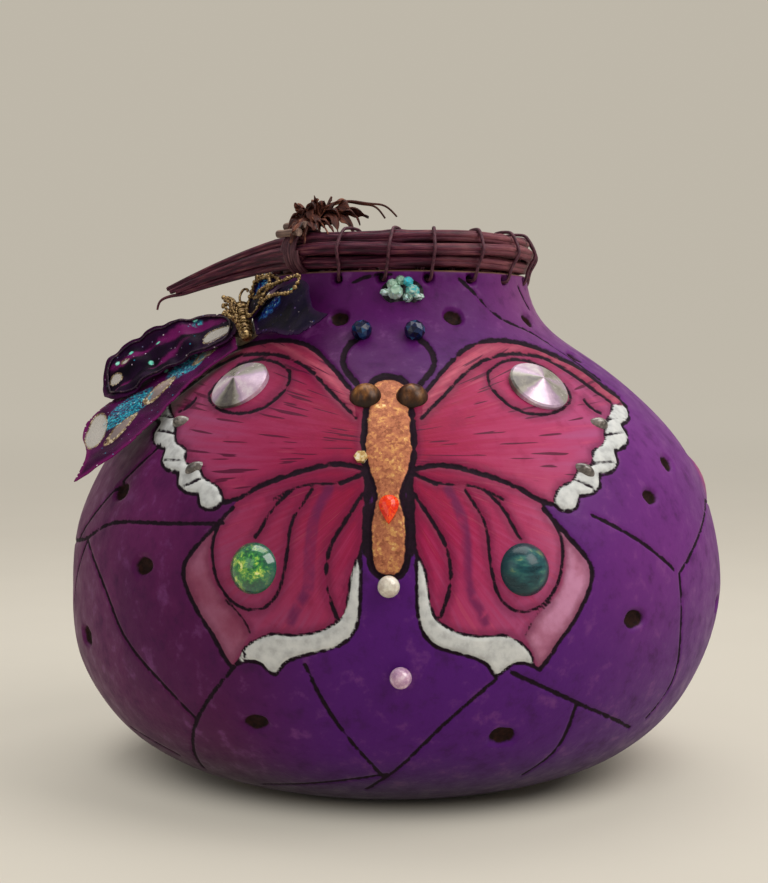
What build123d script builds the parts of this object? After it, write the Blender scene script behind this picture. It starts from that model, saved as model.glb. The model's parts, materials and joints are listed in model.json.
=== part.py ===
"""Carved gourd bowl: laced rim of stems, glued stones and a wired cloth butterfly."""

import os
from math import acos, atan2, cos, degrees, hypot, pi, radians, sin, sqrt

from build123d import *

# Gourd stations from the foot up, each a rise above the last and a radius
BASE_RADIUS = 40.0
FOOT_RISE = 4.0
FOOT_RADIUS = 58.0
HEEL_RISE = 10.0
HEEL_RADIUS = 79.4
FLANK_RISE = 20.0
FLANK_RADIUS = 95.0
BELLY_RISE = 26.0
BELLY_RADIUS = 100.0
CHEST_RISE = 24.0
CHEST_RADIUS = 96.6
SHOULDER_RISE = 20.0
SHOULDER_RADIUS = 86.7
SLOPE_RISE = 14.0
SLOPE_RADIUS = 73.8
COLLAR_RISE = 12.0
COLLAR_RADIUS = 58.1
THROAT_RISE = 12.0
THROAT_RADIUS = 43.7
LIP_RISE = 15.0
LIP_RADIUS = 39.4
TOP_RISE = 14.0
TOP_RADIUS = 41.0
WALL = 5.0
OUTER_RUNS = 20
INNER_RUNS = 10

# Natural wart on the right flank
WART_ANGLE = 0.0
WART_HEIGHT = 92.0
WART_RADIUS = 9.0
WART_PROUD = 1.8

# Cut rim and the ring of stems that lies on it
RIM_HEIGHT = 154.3
RIM_TILT = 3.0
RING_RADIUS = 36.6
STEM_RADIUS = 2.0
STEM_GAP = 0.12
STEM_SIDES = 6
RING_SEAT = 0.1
TAIL_LEAVES_AT = 214.0
TAIL_STARTS_AT = 381.0
BACK_STEM_FROM = 183.0
BACK_STEM_TO = 23.0
TAIL_REACH_OUT = 35.0
TAIL_REACH_BACK = 38.0
TAIL_DROP = 11.0
TAIL_STAGGER = 6.0

# Binding strip, cut stubs and dried tuft beside it
BINDING_AT = 220.5
BINDING_ARC = 10.5
BINDING_THICKNESS = 0.9
BINDING_CLEARANCE = 0.15
BINDING_SIDES = 24
STUB_RADIUS = 1.25
STUB_LENGTH = 10.0
STUB_POLOIDAL = 62.0
STUB_STEP = 24.0
TUFT_CORE_RADIUS = 2.6
TUFT_CORE_RISE = 5.0
TUFT_CORE_SIDES = 8
TUFT_CORE_TAPER = 12.0
TUFT_BRACT_WIDTH = 4.4
TUFT_BRACT_THICKNESS = 0.8
TENDRIL_RADIUS = 0.45

# Lashing thread and the holes it runs through
THREAD_RADIUS = 0.5
THREAD_SIDES = 4
THREAD_SLACK = 0.25
LOOPS = 14
LOOP_PITCH = 20.0
FIRST_HOLE_AT = 242.0
HOLE_RADIUS = 1.5
HOLE_LIFT = 0.25
HOLE_BELOW_EDGE = 2.8
HOLE_LENGTH = 13.0
OUTER_LEAN = 0.25

# Seats cut into the gourd for the glued stones
SEAT_DEPTH = 0.6
SEAT_CLEARANCE = 0.15
SEAT_CUT = 6.0
STONE_SIDES = 20
STONE_RINGS = 5
STONE_TABLE = 0.5

# Stones on the painted butterfly and on the neck
FIGURE_X = -3.4
RIVOLI_RADIUS = 9.1
RIVOLI_GIRDLE = 1.2
RIVOLI_CROWN = 2.4
RIVOLI_TABLE = 0.9
RIVOLI_FACETS = 16
RIVOLI_SPREAD = 42.4
RIVOLI_HEIGHT = 122.7
DOME_RADIUS = 6.4
DOME_RISE = 4.0
DOME_SPREAD = 36.5
DOME_HEIGHT = 75.9
EYE_RADIUS = 4.2
EYE_RISE = 3.2
EYE_SPREAD = 6.5
EYE_HEIGHT = 121.1
DROP_RADIUS = 2.7
DROP_LENGTH = 8.0
DROP_TIP_RADIUS = 0.9
DROP_RISE = 2.4
DROP_CHAMFER = 0.6
DROP_HEIGHT = 93.3
PEARL_RADIUS = 2.95
PEARL_FLAT = 1.5
PEARL_UPPER_HEIGHT = 72.3
PEARL_LOWER_X = -0.3
PEARL_LOWER_HEIGHT = 48.5
BEAD_RADIUS = 3.1
BEAD_FLAT = 1.6
BEAD_SPREAD = 7.4
BEAD_HEIGHT = 137.4
CLUSTER_X = 0.6
CLUSTER_HEIGHT = 149.9
CLUSTER_WIDTH = 12.4
CLUSTER_TALL = 8.0
CLUSTER_PLATE = 1.4
CLUSTER_STONES = 5
CLUSTER_STONE_RADIUS = 1.55
CLUSTER_STONE_RISE = 2.2
CLUSTER_STONE_SIDES = 8
CLUSTER_STONE_TAPER = 24.0
CLUSTER_EDGE = 0.4
CHIP_RADIUS = 1.9
CHIP_RISE = 1.6
CHIP_SIDES = 6
CHIP_X = -10.9
CHIP_HEIGHT = 105.2
MARGIN_RADIUS = 2.5
MARGIN_RISE = 1.7
MARGIN_UPPER_SPREAD = 60.0
MARGIN_UPPER_HEIGHT = 112.4
MARGIN_LOWER_SPREAD = 54.3
MARGIN_LOWER_HEIGHT = 100.7

# Wired cloth butterfly on the left of the neck
ORNAMENT_AT = 203.9
ORNAMENT_ABOVE_COLLAR = 6.4
ORNAMENT_SIDE = (0.9065, -0.0383, 0.4200)
ORNAMENT_UP = (-0.3933, -0.4368, 0.8090)
BODY_RADIUS = 3.2
BODY_TAPER = 0.36
BODY_BEADS = 5
BODY_BEAD_STEP = 4.0
BODY_WAIST = 1.0
BODY_BAND = 1.4
PAD_RADIUS = 4.6
PAD_THICKNESS = 1.6
PAD_CLEARANCE = 0.05
PAD_ROOT = 8.0
ANTENNA_RADIUS = 0.45
ANTENNA_LENGTH = 8.0
ANTENNA_SPREAD = 3.4
ANTENNA_LIFT = 2.0
CLOTH = 0.6
LAYER_GAP = 0.4
WING_ROOT_CLEARANCE = 0.4
WING_CLEARANCE = 2.2
WING_SECTOR_FROM = 175
WING_SECTOR = 62
RIGHT_FOLD = 24.0
FOREWING_SPAN = 47.0
FOREWING_CHORD = 21.0
HINDWING_SPAN = 56.0
TAIL_SPAN = 60.0
TAIL_DEPTH = 41.0
RIGHT_FOREWING_SPAN = 17.0
RIGHT_FOREWING_CHORD = 13.0
RIGHT_HINDWING_SPAN = 26.0
RIGHT_TAIL_SPAN = 30.0
RIGHT_TAIL_DEPTH = 43.0
WIRE_RADIUS = 0.5
WIRE_INSET = 0.86
WIRE_SEAT = 0.05
WIRE_SIDES = 6

# Heights of the stations
foot_z = FOOT_RISE
heel_z = foot_z + HEEL_RISE
flank_z = heel_z + FLANK_RISE
belly_z = flank_z + BELLY_RISE
chest_z = belly_z + CHEST_RISE
shoulder_z = chest_z + SHOULDER_RISE
slope_z = shoulder_z + SLOPE_RISE
collar_z = slope_z + COLLAR_RISE
throat_z = collar_z + THROAT_RISE
lip_z = throat_z + LIP_RISE
top_z = lip_z + TOP_RISE
outer_stations = [
    (BASE_RADIUS, 0.0),
    (FOOT_RADIUS, foot_z),
    (HEEL_RADIUS, heel_z),
    (FLANK_RADIUS, flank_z),
    (BELLY_RADIUS, belly_z),
    (CHEST_RADIUS, chest_z),
    (SHOULDER_RADIUS, shoulder_z),
    (SLOPE_RADIUS, slope_z),
    (COLLAR_RADIUS, collar_z),
    (THROAT_RADIUS, throat_z),
    (LIP_RADIUS, lip_z),
    (TOP_RADIUS, top_z),
]
inner_foot = (BASE_RADIUS + FOOT_RADIUS) / 2 - WALL
inner_stations = [(inner_foot, WALL)] + [(radius - WALL, z) for radius, z in outer_stations[2:]]
REACH = 4 * BELLY_RADIUS


def gourd_form(stations, runs):
    """Solid gourd with a flat foot, turned from a smooth profile in short straight runs."""
    with BuildLine() as curve:
        Spline(*stations)
    points = [curve.line @ (step / runs) for step in range(runs + 1)]
    profile = [(point.X, point.Y) for point in points]
    with BuildPart() as form:
        with BuildSketch(Plane.XZ):
            with BuildLine():
                Polyline((0, stations[0][1]), *profile, (0, stations[-1][1]), close=True)
            make_face()
        revolve(axis=Axis.Z)
    return form


# Outer and inner forms of the gourd
outer_form = gourd_form(outer_stations, OUTER_RUNS)
inner_form = gourd_form(inner_stations, INNER_RUNS)


def skin_point(axis):
    """First point on the outside of the gourd along an axis, with its outward normal."""
    hits = outer_form.part.find_intersection_points(axis)
    start = axis.position
    return min(hits, key=lambda hit: (hit[0] - start).length)


def seat_floor(x, z):
    """Floor of a shallow seat cut square to the skin at the front of the gourd."""
    point, normal = skin_point(Axis((x, -REACH, z), (0, 1, 0)))
    side = Vector(0, 0, 1).cross(normal).normalized()
    return Plane(origin=point - normal * SEAT_DEPTH, x_dir=side, z_dir=normal)


def cabochon(floor, foot_radius, rise):
    """Domed stone with a flat back of the given radius, rounded in rings of fine facets."""
    ball = (foot_radius**2 + rise**2) / (2 * rise)
    lowest = acos((ball - rise) / ball)
    highest = atan2(STONE_TABLE, ball)
    turns = [lowest + (highest - lowest) * ring / STONE_RINGS for ring in range(STONE_RINGS + 1)]
    with BuildPart() as stone:
        for low, high in zip(turns[:-1], turns[1:]):
            step = ball * (cos(high) - cos(low))
            shrink = ball * (sin(low) - sin(high)) * cos(pi / STONE_SIDES)
            with BuildSketch(floor.offset(rise - ball + ball * cos(low))):
                RegularPolygon(ball * sin(low), STONE_SIDES)
            extrude(amount=step, taper=degrees(atan2(shrink, step)))
    return stone


def rivoli(floor):
    """Pointed round crystal: a flat girdle and a faceted crown."""
    with BuildPart(floor) as stone:
        with BuildSketch(floor):
            RegularPolygon(RIVOLI_RADIUS, RIVOLI_FACETS)
        extrude(amount=RIVOLI_GIRDLE)
        with BuildSketch(floor.offset(RIVOLI_GIRDLE)):
            RegularPolygon(RIVOLI_RADIUS, RIVOLI_FACETS)
        crown = degrees(atan2(RIVOLI_RADIUS - RIVOLI_TABLE, RIVOLI_CROWN))
        extrude(amount=RIVOLI_CROWN, taper=crown)
    return stone


def bead_rise(radius, flat):
    """Height of a bead of the given radius that stands on a flat."""
    return radius + sqrt(radius**2 - flat**2)


# Floors of the seats
rivoli_left_floor = seat_floor(FIGURE_X - RIVOLI_SPREAD, RIVOLI_HEIGHT)
rivoli_right_floor = seat_floor(FIGURE_X + RIVOLI_SPREAD, RIVOLI_HEIGHT)
dome_left_floor = seat_floor(FIGURE_X - DOME_SPREAD, DOME_HEIGHT)
dome_right_floor = seat_floor(FIGURE_X + DOME_SPREAD, DOME_HEIGHT)
eye_left_floor = seat_floor(FIGURE_X - EYE_SPREAD, EYE_HEIGHT)
eye_right_floor = seat_floor(FIGURE_X + EYE_SPREAD, EYE_HEIGHT)
drop_floor = seat_floor(FIGURE_X, DROP_HEIGHT)
pearl_upper_floor = seat_floor(FIGURE_X, PEARL_UPPER_HEIGHT)
pearl_lower_floor = seat_floor(PEARL_LOWER_X, PEARL_LOWER_HEIGHT)
bead_left_floor = seat_floor(FIGURE_X - BEAD_SPREAD, BEAD_HEIGHT)
bead_right_floor = seat_floor(FIGURE_X + BEAD_SPREAD, BEAD_HEIGHT)
cluster_floor = seat_floor(CLUSTER_X, CLUSTER_HEIGHT)
chip_floor = seat_floor(CHIP_X, CHIP_HEIGHT)
margin_floors = [
    seat_floor(FIGURE_X + side * spread, height)
    for side in (-1, 1)
    for spread, height in (
        (MARGIN_UPPER_SPREAD, MARGIN_UPPER_HEIGHT),
        (MARGIN_LOWER_SPREAD, MARGIN_LOWER_HEIGHT),
    )
]
bead_seat = BEAD_FLAT + SEAT_DEPTH
pearl_seat = PEARL_FLAT + SEAT_DEPTH
round_seats = [
    (rivoli_left_floor, RIVOLI_RADIUS),
    (rivoli_right_floor, RIVOLI_RADIUS),
    (dome_left_floor, DOME_RADIUS),
    (dome_right_floor, DOME_RADIUS),
    (eye_left_floor, EYE_RADIUS),
    (eye_right_floor, EYE_RADIUS),
    (pearl_upper_floor, pearl_seat),
    (pearl_lower_floor, pearl_seat),
    (bead_left_floor, bead_seat),
    (bead_right_floor, bead_seat),
    (chip_floor, CHIP_RADIUS),
] + [(floor, MARGIN_RADIUS) for floor in margin_floors]

# Rim plane: tilted so that the front stands a little higher
rim_plane = Plane(
    origin=(0, 0, RIM_HEIGHT),
    x_dir=(1, 0, 0),
    z_dir=(0, sin(radians(RIM_TILT)), cos(radians(RIM_TILT))),
)
rim_axis = Axis(rim_plane.origin, rim_plane.z_dir)
stem_step = 2 * STEM_RADIUS + STEM_GAP
bundle_radius = stem_step + STEM_RADIUS
ring_z = bundle_radius + RING_SEAT
binding_bore = bundle_radius + BINDING_CLEARANCE
binding_outer = binding_bore + BINDING_THICKNESS
notch_arc = BINDING_ARC + 2 * degrees(BINDING_CLEARANCE / RING_RADIUS)


def rim_point(radius, azimuth, height):
    """Point in the rim's own cylindrical coordinates, azimuth in degrees."""
    turn = radians(azimuth)
    return rim_plane.from_local_coords(Vector(radius * cos(turn), radius * sin(turn), height))


def rim_section(radius, azimuth, height):
    """Section plane square to the ring, its x axis pointing away from the axis."""
    turn = radians(azimuth)
    out = rim_plane.x_dir * cos(turn) + rim_plane.y_dir * sin(turn)
    along = rim_plane.y_dir * cos(turn) - rim_plane.x_dir * sin(turn)
    return Plane(origin=rim_point(radius, azimuth, height), x_dir=out, z_dir=along)


# Lashing route: an upright oval round the bundle, through the wall at its foot
thread_gap = THREAD_RADIUS + THREAD_SLACK
oval_top = ring_z + bundle_radius + thread_gap
oval_z = (oval_top - HOLE_BELOW_EDGE) / 2
oval_tall = (oval_top + HOLE_BELOW_EDGE) / 2
oval_wide = bundle_radius + 2 * thread_gap


def thread_azimuth(turn):
    """Azimuth of the thread, leaning little outside and more inside the ring."""
    share = turn / (2 * pi) - OUTER_LEAN * (1 - cos(turn)) / 2
    return FIRST_HOLE_AT + LOOP_PITCH * share


def thread_point(turn):
    """Point on the thread; a whole turn of 2 pi starts at each hole."""
    radius = RING_RADIUS + oval_wide * sin(turn)
    height = oval_z - oval_tall * cos(turn)
    return rim_point(radius, thread_azimuth(turn), height)


def thread_tangent(turn):
    """Unit direction of the thread."""
    step = 1e-4
    return (thread_point(turn + step) - thread_point(turn - step)).normalized()


def biarc(start, start_dir, end, end_dir):
    """Joint of two arcs that meet smoothly between two points with directions."""
    chord = end - start
    both = start_dir + end_dir
    lean = 1 - start_dir.dot(end_dir)
    along = chord.dot(both)
    reach = (sqrt(along**2 + 2 * lean * chord.dot(chord)) - along) / (2 * lean)
    return (start + start_dir * reach + end - end_dir * reach) * 0.5


QUARTER = pi / 2
knots = [QUARTER * index for index in range(4 * LOOPS + 1)]
with BuildLine() as thread_line:
    for first, last in zip(knots[:-1], knots[1:]):
        p0, p1 = thread_point(first), thread_point(last)
        t0, t1 = thread_tangent(first), thread_tangent(last)
        joint = biarc(p0, t0, p1, t1)
        opening = TangentArc(p0, joint, tangent=t0)
        TangentArc(joint, p1, tangent=opening % 1)

with BuildPart() as rim_lashing:
    with BuildSketch(Plane(origin=thread_point(0), z_dir=thread_tangent(0))):
        RegularPolygon(THREAD_RADIUS, THREAD_SIDES)
    sweep(path=thread_line.line, clean=False)

SAMPLES = 24
trail = [thread_point(2 * pi * index / SAMPLES) for index in range(SAMPLES * LOOPS + 1)]
self_gap = min(
    (trail[i] - trail[j]).length
    for i in range(len(trail))
    for j in range(i + SAMPLES // 2, len(trail))
)
print("least gap of the lashing to itself, mm:", round(self_gap - 2 * THREAD_RADIUS, 2))

# Gourd shell with its holes, wart and seats
holes = []
for index in range(LOOPS + 1):
    turn = 2 * pi * index
    lifted = thread_point(turn) + rim_plane.z_dir * HOLE_LIFT
    holes.append(Plane(origin=lifted, z_dir=thread_tangent(turn)))

wart_turn = radians(WART_ANGLE)
wart_from = Vector(REACH * cos(wart_turn), REACH * sin(wart_turn), WART_HEIGHT)
wart_point, wart_normal = skin_point(Axis(wart_from, Vector(-cos(wart_turn), -sin(wart_turn), 0)))
wart_ball = (WART_RADIUS**2 + WART_PROUD**2) / (2 * WART_PROUD)


def drop_outline(grow):
    """Teardrop with its point down, grown by a clearance."""
    Circle(DROP_RADIUS + grow)
    with Locations((0, -(DROP_LENGTH - DROP_RADIUS - DROP_TIP_RADIUS))):
        Circle(DROP_TIP_RADIUS + grow)
    make_hull()


with BuildPart() as gourd_shell:
    add(outer_form.part)
    with Locations(wart_point - wart_normal * (wart_ball - WART_PROUD)):
        Sphere(wart_ball)
    add(inner_form.part, mode=Mode.SUBTRACT)
    split(bisect_by=rim_plane, keep=Keep.BOTTOM)
    for hole in holes:
        with Locations(hole):
            Cylinder(HOLE_RADIUS, HOLE_LENGTH, mode=Mode.SUBTRACT)
    with BuildSketch(rim_section(RING_RADIUS, BINDING_AT - notch_arc / 2, ring_z)):
        Circle(binding_outer + BINDING_CLEARANCE)
    revolve(axis=rim_axis, revolution_arc=notch_arc, mode=Mode.SUBTRACT)
    for floor, radius in round_seats:
        with Locations(floor):
            Cylinder(
                radius + SEAT_CLEARANCE,
                SEAT_CUT,
                align=(Align.CENTER, Align.CENTER, Align.MIN),
                mode=Mode.SUBTRACT,
            )
    with BuildSketch(drop_floor):
        drop_outline(SEAT_CLEARANCE)
    extrude(amount=SEAT_CUT, mode=Mode.SUBTRACT)
    with BuildSketch(cluster_floor):
        Ellipse(CLUSTER_WIDTH / 2 + SEAT_CLEARANCE, CLUSTER_TALL / 2 + SEAT_CLEARANCE)
    extrude(amount=SEAT_CUT, mode=Mode.SUBTRACT)

# Stems of the rim: closed rings inside, two runs of outer stems that part at the tail
inner_stems = [(0.0, 0.0)] + [
    (stem_step * cos(radians(turn)), stem_step * sin(radians(turn))) for turn in (120, 180, 240)
]
outer_stems = [
    (stem_step * cos(radians(turn)), stem_step * sin(radians(turn))) for turn in (-60, 0, 60)
]
with BuildPart() as rim_stems:
    for out, up in inner_stems:
        with BuildSketch(rim_section(RING_RADIUS + out, 0, ring_z + up)):
            RegularPolygon(STEM_RADIUS, STEM_SIDES)
        revolve(axis=rim_axis)
    for out, up in outer_stems:
        with BuildSketch(rim_section(RING_RADIUS + out, BACK_STEM_TO, ring_z + up)):
            RegularPolygon(STEM_RADIUS, STEM_SIDES)
        revolve(axis=rim_axis, revolution_arc=BACK_STEM_FROM - BACK_STEM_TO)

with BuildPart() as rim_tail_stems:
    for order, (out, up) in enumerate(outer_stems):
        radius = RING_RADIUS + out
        height = ring_z + up
        leave = rim_point(radius, TAIL_LEAVES_AT, height)
        halfway = (TAIL_STARTS_AT + TAIL_LEAVES_AT) / 2
        with BuildLine() as stem_line:
            run = ThreePointArc(
                rim_point(radius, TAIL_STARTS_AT, height),
                rim_point(radius, halfway, height),
                leave,
            )
            share = 1 - TAIL_STAGGER * (2 - order) / TAIL_REACH_OUT
            reach = Vector(-TAIL_REACH_OUT, TAIL_REACH_BACK, -TAIL_DROP) * share
            TangentArc(leave, leave + reach, tangent=run % 1)
        with BuildSketch(Plane(origin=stem_line.line @ 0, x_dir=rim_plane.z_dir, z_dir=stem_line.line % 0)):
            RegularPolygon(STEM_RADIUS, STEM_SIDES)
        sweep(path=stem_line.line)

# Binding strip round the bundle where the tail leaves
with BuildPart() as rim_binding:
    with BuildSketch(rim_section(RING_RADIUS, BINDING_AT - BINDING_ARC / 2, ring_z)):
        RegularPolygon(binding_outer, BINDING_SIDES, major_radius=False)
        RegularPolygon(binding_bore, BINDING_SIDES, major_radius=False, mode=Mode.SUBTRACT)
    revolve(axis=rim_axis, revolution_arc=BINDING_ARC)

# Two cut stubs on the binding
with BuildPart() as rim_stub_stems:
    for order in (0, 1):
        lean = radians(STUB_POLOIDAL - STUB_STEP * order)
        away = binding_outer + STUB_RADIUS + RING_SEAT
        section = rim_section(RING_RADIUS + away * cos(lean), BINDING_AT, ring_z + away * sin(lean))
        with Locations(section):
            Cylinder(STUB_RADIUS, STUB_LENGTH)

# Dried tuft on top of the binding, one grown piece
tuft_foot = rim_point(RING_RADIUS, BINDING_AT, ring_z + binding_outer + RING_SEAT)
TUFT_TIPS = (
    (8.0, -1.0, 10.5),
    (11.5, -3.0, 4.8),
    (-9.0, 1.0, 2.2),
    (-2.0, 3.0, 9.0),
    (4.5, -6.0, 4.0),
    (-6.0, -3.0, 6.5),
    (5.0, 4.0, 8.0),
)
TENDRIL_TIPS = ((25.0, -2.0, 3.0), (21.0, 1.0, 3.6))
TENDRIL_CROWN = 7.5
with BuildPart() as tuft:
    with BuildSketch(Plane(tuft_foot)):
        RegularPolygon(TUFT_CORE_RADIUS, TUFT_CORE_SIDES)
    extrude(amount=TUFT_CORE_RISE, taper=TUFT_CORE_TAPER)
    core = tuft_foot + Vector(0, 0, TUFT_CORE_RISE / 2)
    for tip in TUFT_TIPS:
        heading = Vector(tip[0], tip[1], 0).normalized()
        with BuildLine() as bract_line:
            TangentArc(core, core + Vector(tip), tangent=(heading * 0.35 + Vector(0, 0, 1)).normalized())
        with BuildSketch(Plane(origin=core, x_dir=Vector(0, 0, 1).cross(heading), z_dir=bract_line.line % 0)):
            Rectangle(TUFT_BRACT_WIDTH, TUFT_BRACT_THICKNESS)
        sweep(path=bract_line.line)
    for tip in TENDRIL_TIPS:
        crown = core + Vector(tip[0] / 2, tip[1] / 2, TENDRIL_CROWN)
        with BuildLine() as tendril_line:
            ThreePointArc(core, crown, core + Vector(tip))
        with BuildSketch(Plane(origin=core, z_dir=tendril_line.line % 0)):
            RegularPolygon(TENDRIL_RADIUS, WIRE_SIDES)
        sweep(path=tendril_line.line)

# Stones
rivoli_left = rivoli(rivoli_left_floor)
rivoli_right = rivoli(rivoli_right_floor)
dome_left = cabochon(dome_left_floor, DOME_RADIUS, DOME_RISE)
dome_right = cabochon(dome_right_floor, DOME_RADIUS, DOME_RISE)
eye_left = cabochon(eye_left_floor, EYE_RADIUS, EYE_RISE)
eye_right = cabochon(eye_right_floor, EYE_RADIUS, EYE_RISE)
pearl_rise = bead_rise(PEARL_RADIUS, PEARL_FLAT)
pearl_upper = cabochon(pearl_upper_floor, PEARL_FLAT, pearl_rise)
pearl_lower = cabochon(pearl_lower_floor, PEARL_FLAT, pearl_rise)
antenna_bead_left = cabochon(bead_left_floor, BEAD_FLAT, bead_rise(BEAD_RADIUS, BEAD_FLAT))
antenna_bead_right = cabochon(bead_right_floor, BEAD_FLAT, bead_rise(BEAD_RADIUS, BEAD_FLAT))

with BuildPart() as drop_stone:
    with BuildSketch(drop_floor):
        drop_outline(0)
    extrude(amount=DROP_RISE)
    crown = drop_stone.faces().sort_by(Axis(drop_floor.origin, drop_floor.z_dir))[-1]
    chamfer(crown.edges(), DROP_CHAMFER)

with BuildPart() as cluster_setting:
    with BuildSketch(cluster_floor):
        Ellipse(CLUSTER_WIDTH / 2, CLUSTER_TALL / 2)
    extrude(amount=CLUSTER_PLATE)

with BuildPart() as cluster_stones:
    ring_x = CLUSTER_WIDTH / 2 - CLUSTER_STONE_RADIUS - CLUSTER_EDGE
    ring_y = CLUSTER_TALL / 2 - CLUSTER_STONE_RADIUS + CLUSTER_EDGE
    spots = [
        (ring_x * sin(2 * pi * k / CLUSTER_STONES), ring_y * cos(2 * pi * k / CLUSTER_STONES))
        for k in range(CLUSTER_STONES)
    ]
    with BuildSketch(cluster_floor.offset(CLUSTER_PLATE)):
        with Locations(*spots):
            RegularPolygon(CLUSTER_STONE_RADIUS, CLUSTER_STONE_SIDES)
    extrude(amount=CLUSTER_STONE_RISE, taper=CLUSTER_STONE_TAPER)

with BuildPart() as accent_crystal:
    with BuildSketch(chip_floor):
        RegularPolygon(CHIP_RADIUS, CHIP_SIDES)
    extrude(amount=CHIP_RISE)

with BuildPart() as margin_stones:
    for floor in margin_floors:
        add(cabochon(floor, MARGIN_RADIUS, MARGIN_RISE).part)

# Frame of the cloth butterfly: x to its right wing, y to its head, z away from the gourd
ornament_turn = radians(ORNAMENT_AT)
ornament_from = Vector(
    REACH * cos(ornament_turn), REACH * sin(ornament_turn), collar_z + ORNAMENT_ABOVE_COLLAR
)
anchor = skin_point(Axis(ornament_from, Vector(-cos(ornament_turn), -sin(ornament_turn), 0)))[0]
first_frame = Plane(origin=anchor, x_dir=ORNAMENT_SIDE, z_dir=ORNAMENT_UP)
body_frame = first_frame.offset(PAD_THICKNESS + BODY_RADIUS)


def shoulder_clearance(frame):
    """Least height of the left wing plane over the shoulder below it."""
    ring = ((chest_z, CHEST_RADIUS), (shoulder_z, SHOULDER_RADIUS), (slope_z, SLOPE_RADIUS))
    azimuths = [radians(WING_SECTOR_FROM + step) for step in range(WING_SECTOR)]
    return min(
        frame.z_dir.dot(frame.origin - Vector(radius * cos(turn), radius * sin(turn), height))
        for height, radius in ring
        for turn in azimuths
    )


def folded(frame, side, lift):
    """Wing frame turned about the body so that the wing on the given side rises."""
    turn = radians(lift) * side
    across = frame.x_dir * cos(turn) + frame.z_dir * sin(turn)
    away = frame.z_dir * cos(turn) - frame.x_dir * sin(turn)
    return Plane(origin=frame.origin, x_dir=across, z_dir=away)


# The left wings lie down until their plane clears the shoulder by the wing clearance
low, high = -25.0, 60.0
for _ in range(40):
    tilt = (low + high) / 2
    if shoulder_clearance(folded(body_frame, -1, tilt)) < WING_CLEARANCE:
        low = tilt
    else:
        high = tilt
left_frame = folded(body_frame, -1, high)
right_frame = folded(body_frame, 1, RIGHT_FOLD)
print("wing hinge origin, mm:", [round(v, 4) for v in body_frame.origin])
print("wing hinge axis, towards the head:", [round(v, 5) for v in body_frame.y_dir])
print("left wing tilt, degrees:", round(high, 3))

body_length = BODY_BEAD_STEP * BODY_BEADS
with BuildPart() as ornament_body:
    bead_profile = [(0, body_length / 2)]
    for index in range(BODY_BEADS):
        middle = body_length / 2 - BODY_BEAD_STEP * (index + 0.5)
        radius = BODY_RADIUS - BODY_TAPER * index
        bead_profile.append((radius - BODY_WAIST, middle + BODY_BEAD_STEP / 2))
        bead_profile.append((radius, middle + BODY_BAND / 2))
        bead_profile.append((radius, middle - BODY_BAND / 2))
    bead_profile.append((0, -body_length / 2))
    with BuildSketch(body_frame):
        with BuildLine():
            Polyline(*bead_profile, close=True)
        make_face()
    revolve(axis=Axis(body_frame.origin, body_frame.y_dir))

with BuildPart() as ornament_pad:
    with Locations(body_frame):
        Cylinder(PAD_RADIUS, PAD_ROOT, align=(Align.CENTER, Align.CENTER, Align.MAX))
    add(outer_form.part, mode=Mode.SUBTRACT)
    with Locations(body_frame * Rotation(90, 0, 0)):
        Cylinder(BODY_RADIUS + PAD_CLEARANCE, REACH, mode=Mode.SUBTRACT)
    with Locations(body_frame.offset(PAD_CLEARANCE - BODY_RADIUS / 2)):
        Box(REACH, REACH, REACH, align=(Align.CENTER, Align.CENTER, Align.MIN), mode=Mode.SUBTRACT)

with BuildPart() as ornament_antennae:
    head_y = body_length / 2 + PAD_CLEARANCE
    for side in (-1, 1):
        with BuildLine(body_frame) as antenna_line:
            ThreePointArc(
                (side * ANTENNA_RADIUS * 2, head_y + ANTENNA_RADIUS, 0),
                (side * ANTENNA_SPREAD * 0.3, head_y + ANTENNA_LENGTH * 0.55, ANTENNA_LIFT * 0.9),
                (side * ANTENNA_SPREAD, head_y + ANTENNA_LENGTH, ANTENNA_LIFT),
            )
        with BuildSketch(Plane(origin=antenna_line.line @ 0, z_dir=antenna_line.line % 0)):
            RegularPolygon(ANTENNA_RADIUS, WIRE_SIDES)
        sweep(path=antenna_line.line)

root_x = BODY_RADIUS + WING_ROOT_CLEARANCE


def forewing_points(side, span, chord, inset):
    """Rounded forewing outline, drawn in about its middle by the inset."""
    outline = (
        (root_x, -0.25 * chord),
        (root_x, 0.45 * chord),
        (root_x + 0.30 * (span - root_x), 0.63 * chord),
        (root_x + 0.62 * (span - root_x), 0.72 * chord),
        (span, 0.36 * chord),
        (root_x + 0.97 * (span - root_x), -0.28 * chord),
        (root_x + 0.45 * (span - root_x), -0.34 * chord),
    )
    mid_x = (root_x + span) / 2
    mid_y = 0.18 * chord
    return [
        (side * (mid_x + inset * (x - mid_x)), mid_y + inset * (y - mid_y)) for x, y in outline
    ]


def forewing(frame, side, span, chord):
    """Cloth forewing, the upper layer."""
    with BuildPart() as wing:
        with BuildSketch(frame.offset(LAYER_GAP / 2)):
            with BuildLine():
                points = forewing_points(side, span, chord, 1.0)
                Spline(*points[1:], points[0])
                Line(points[0], points[1])
            make_face()
        extrude(amount=CLOTH)
    return wing


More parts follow.
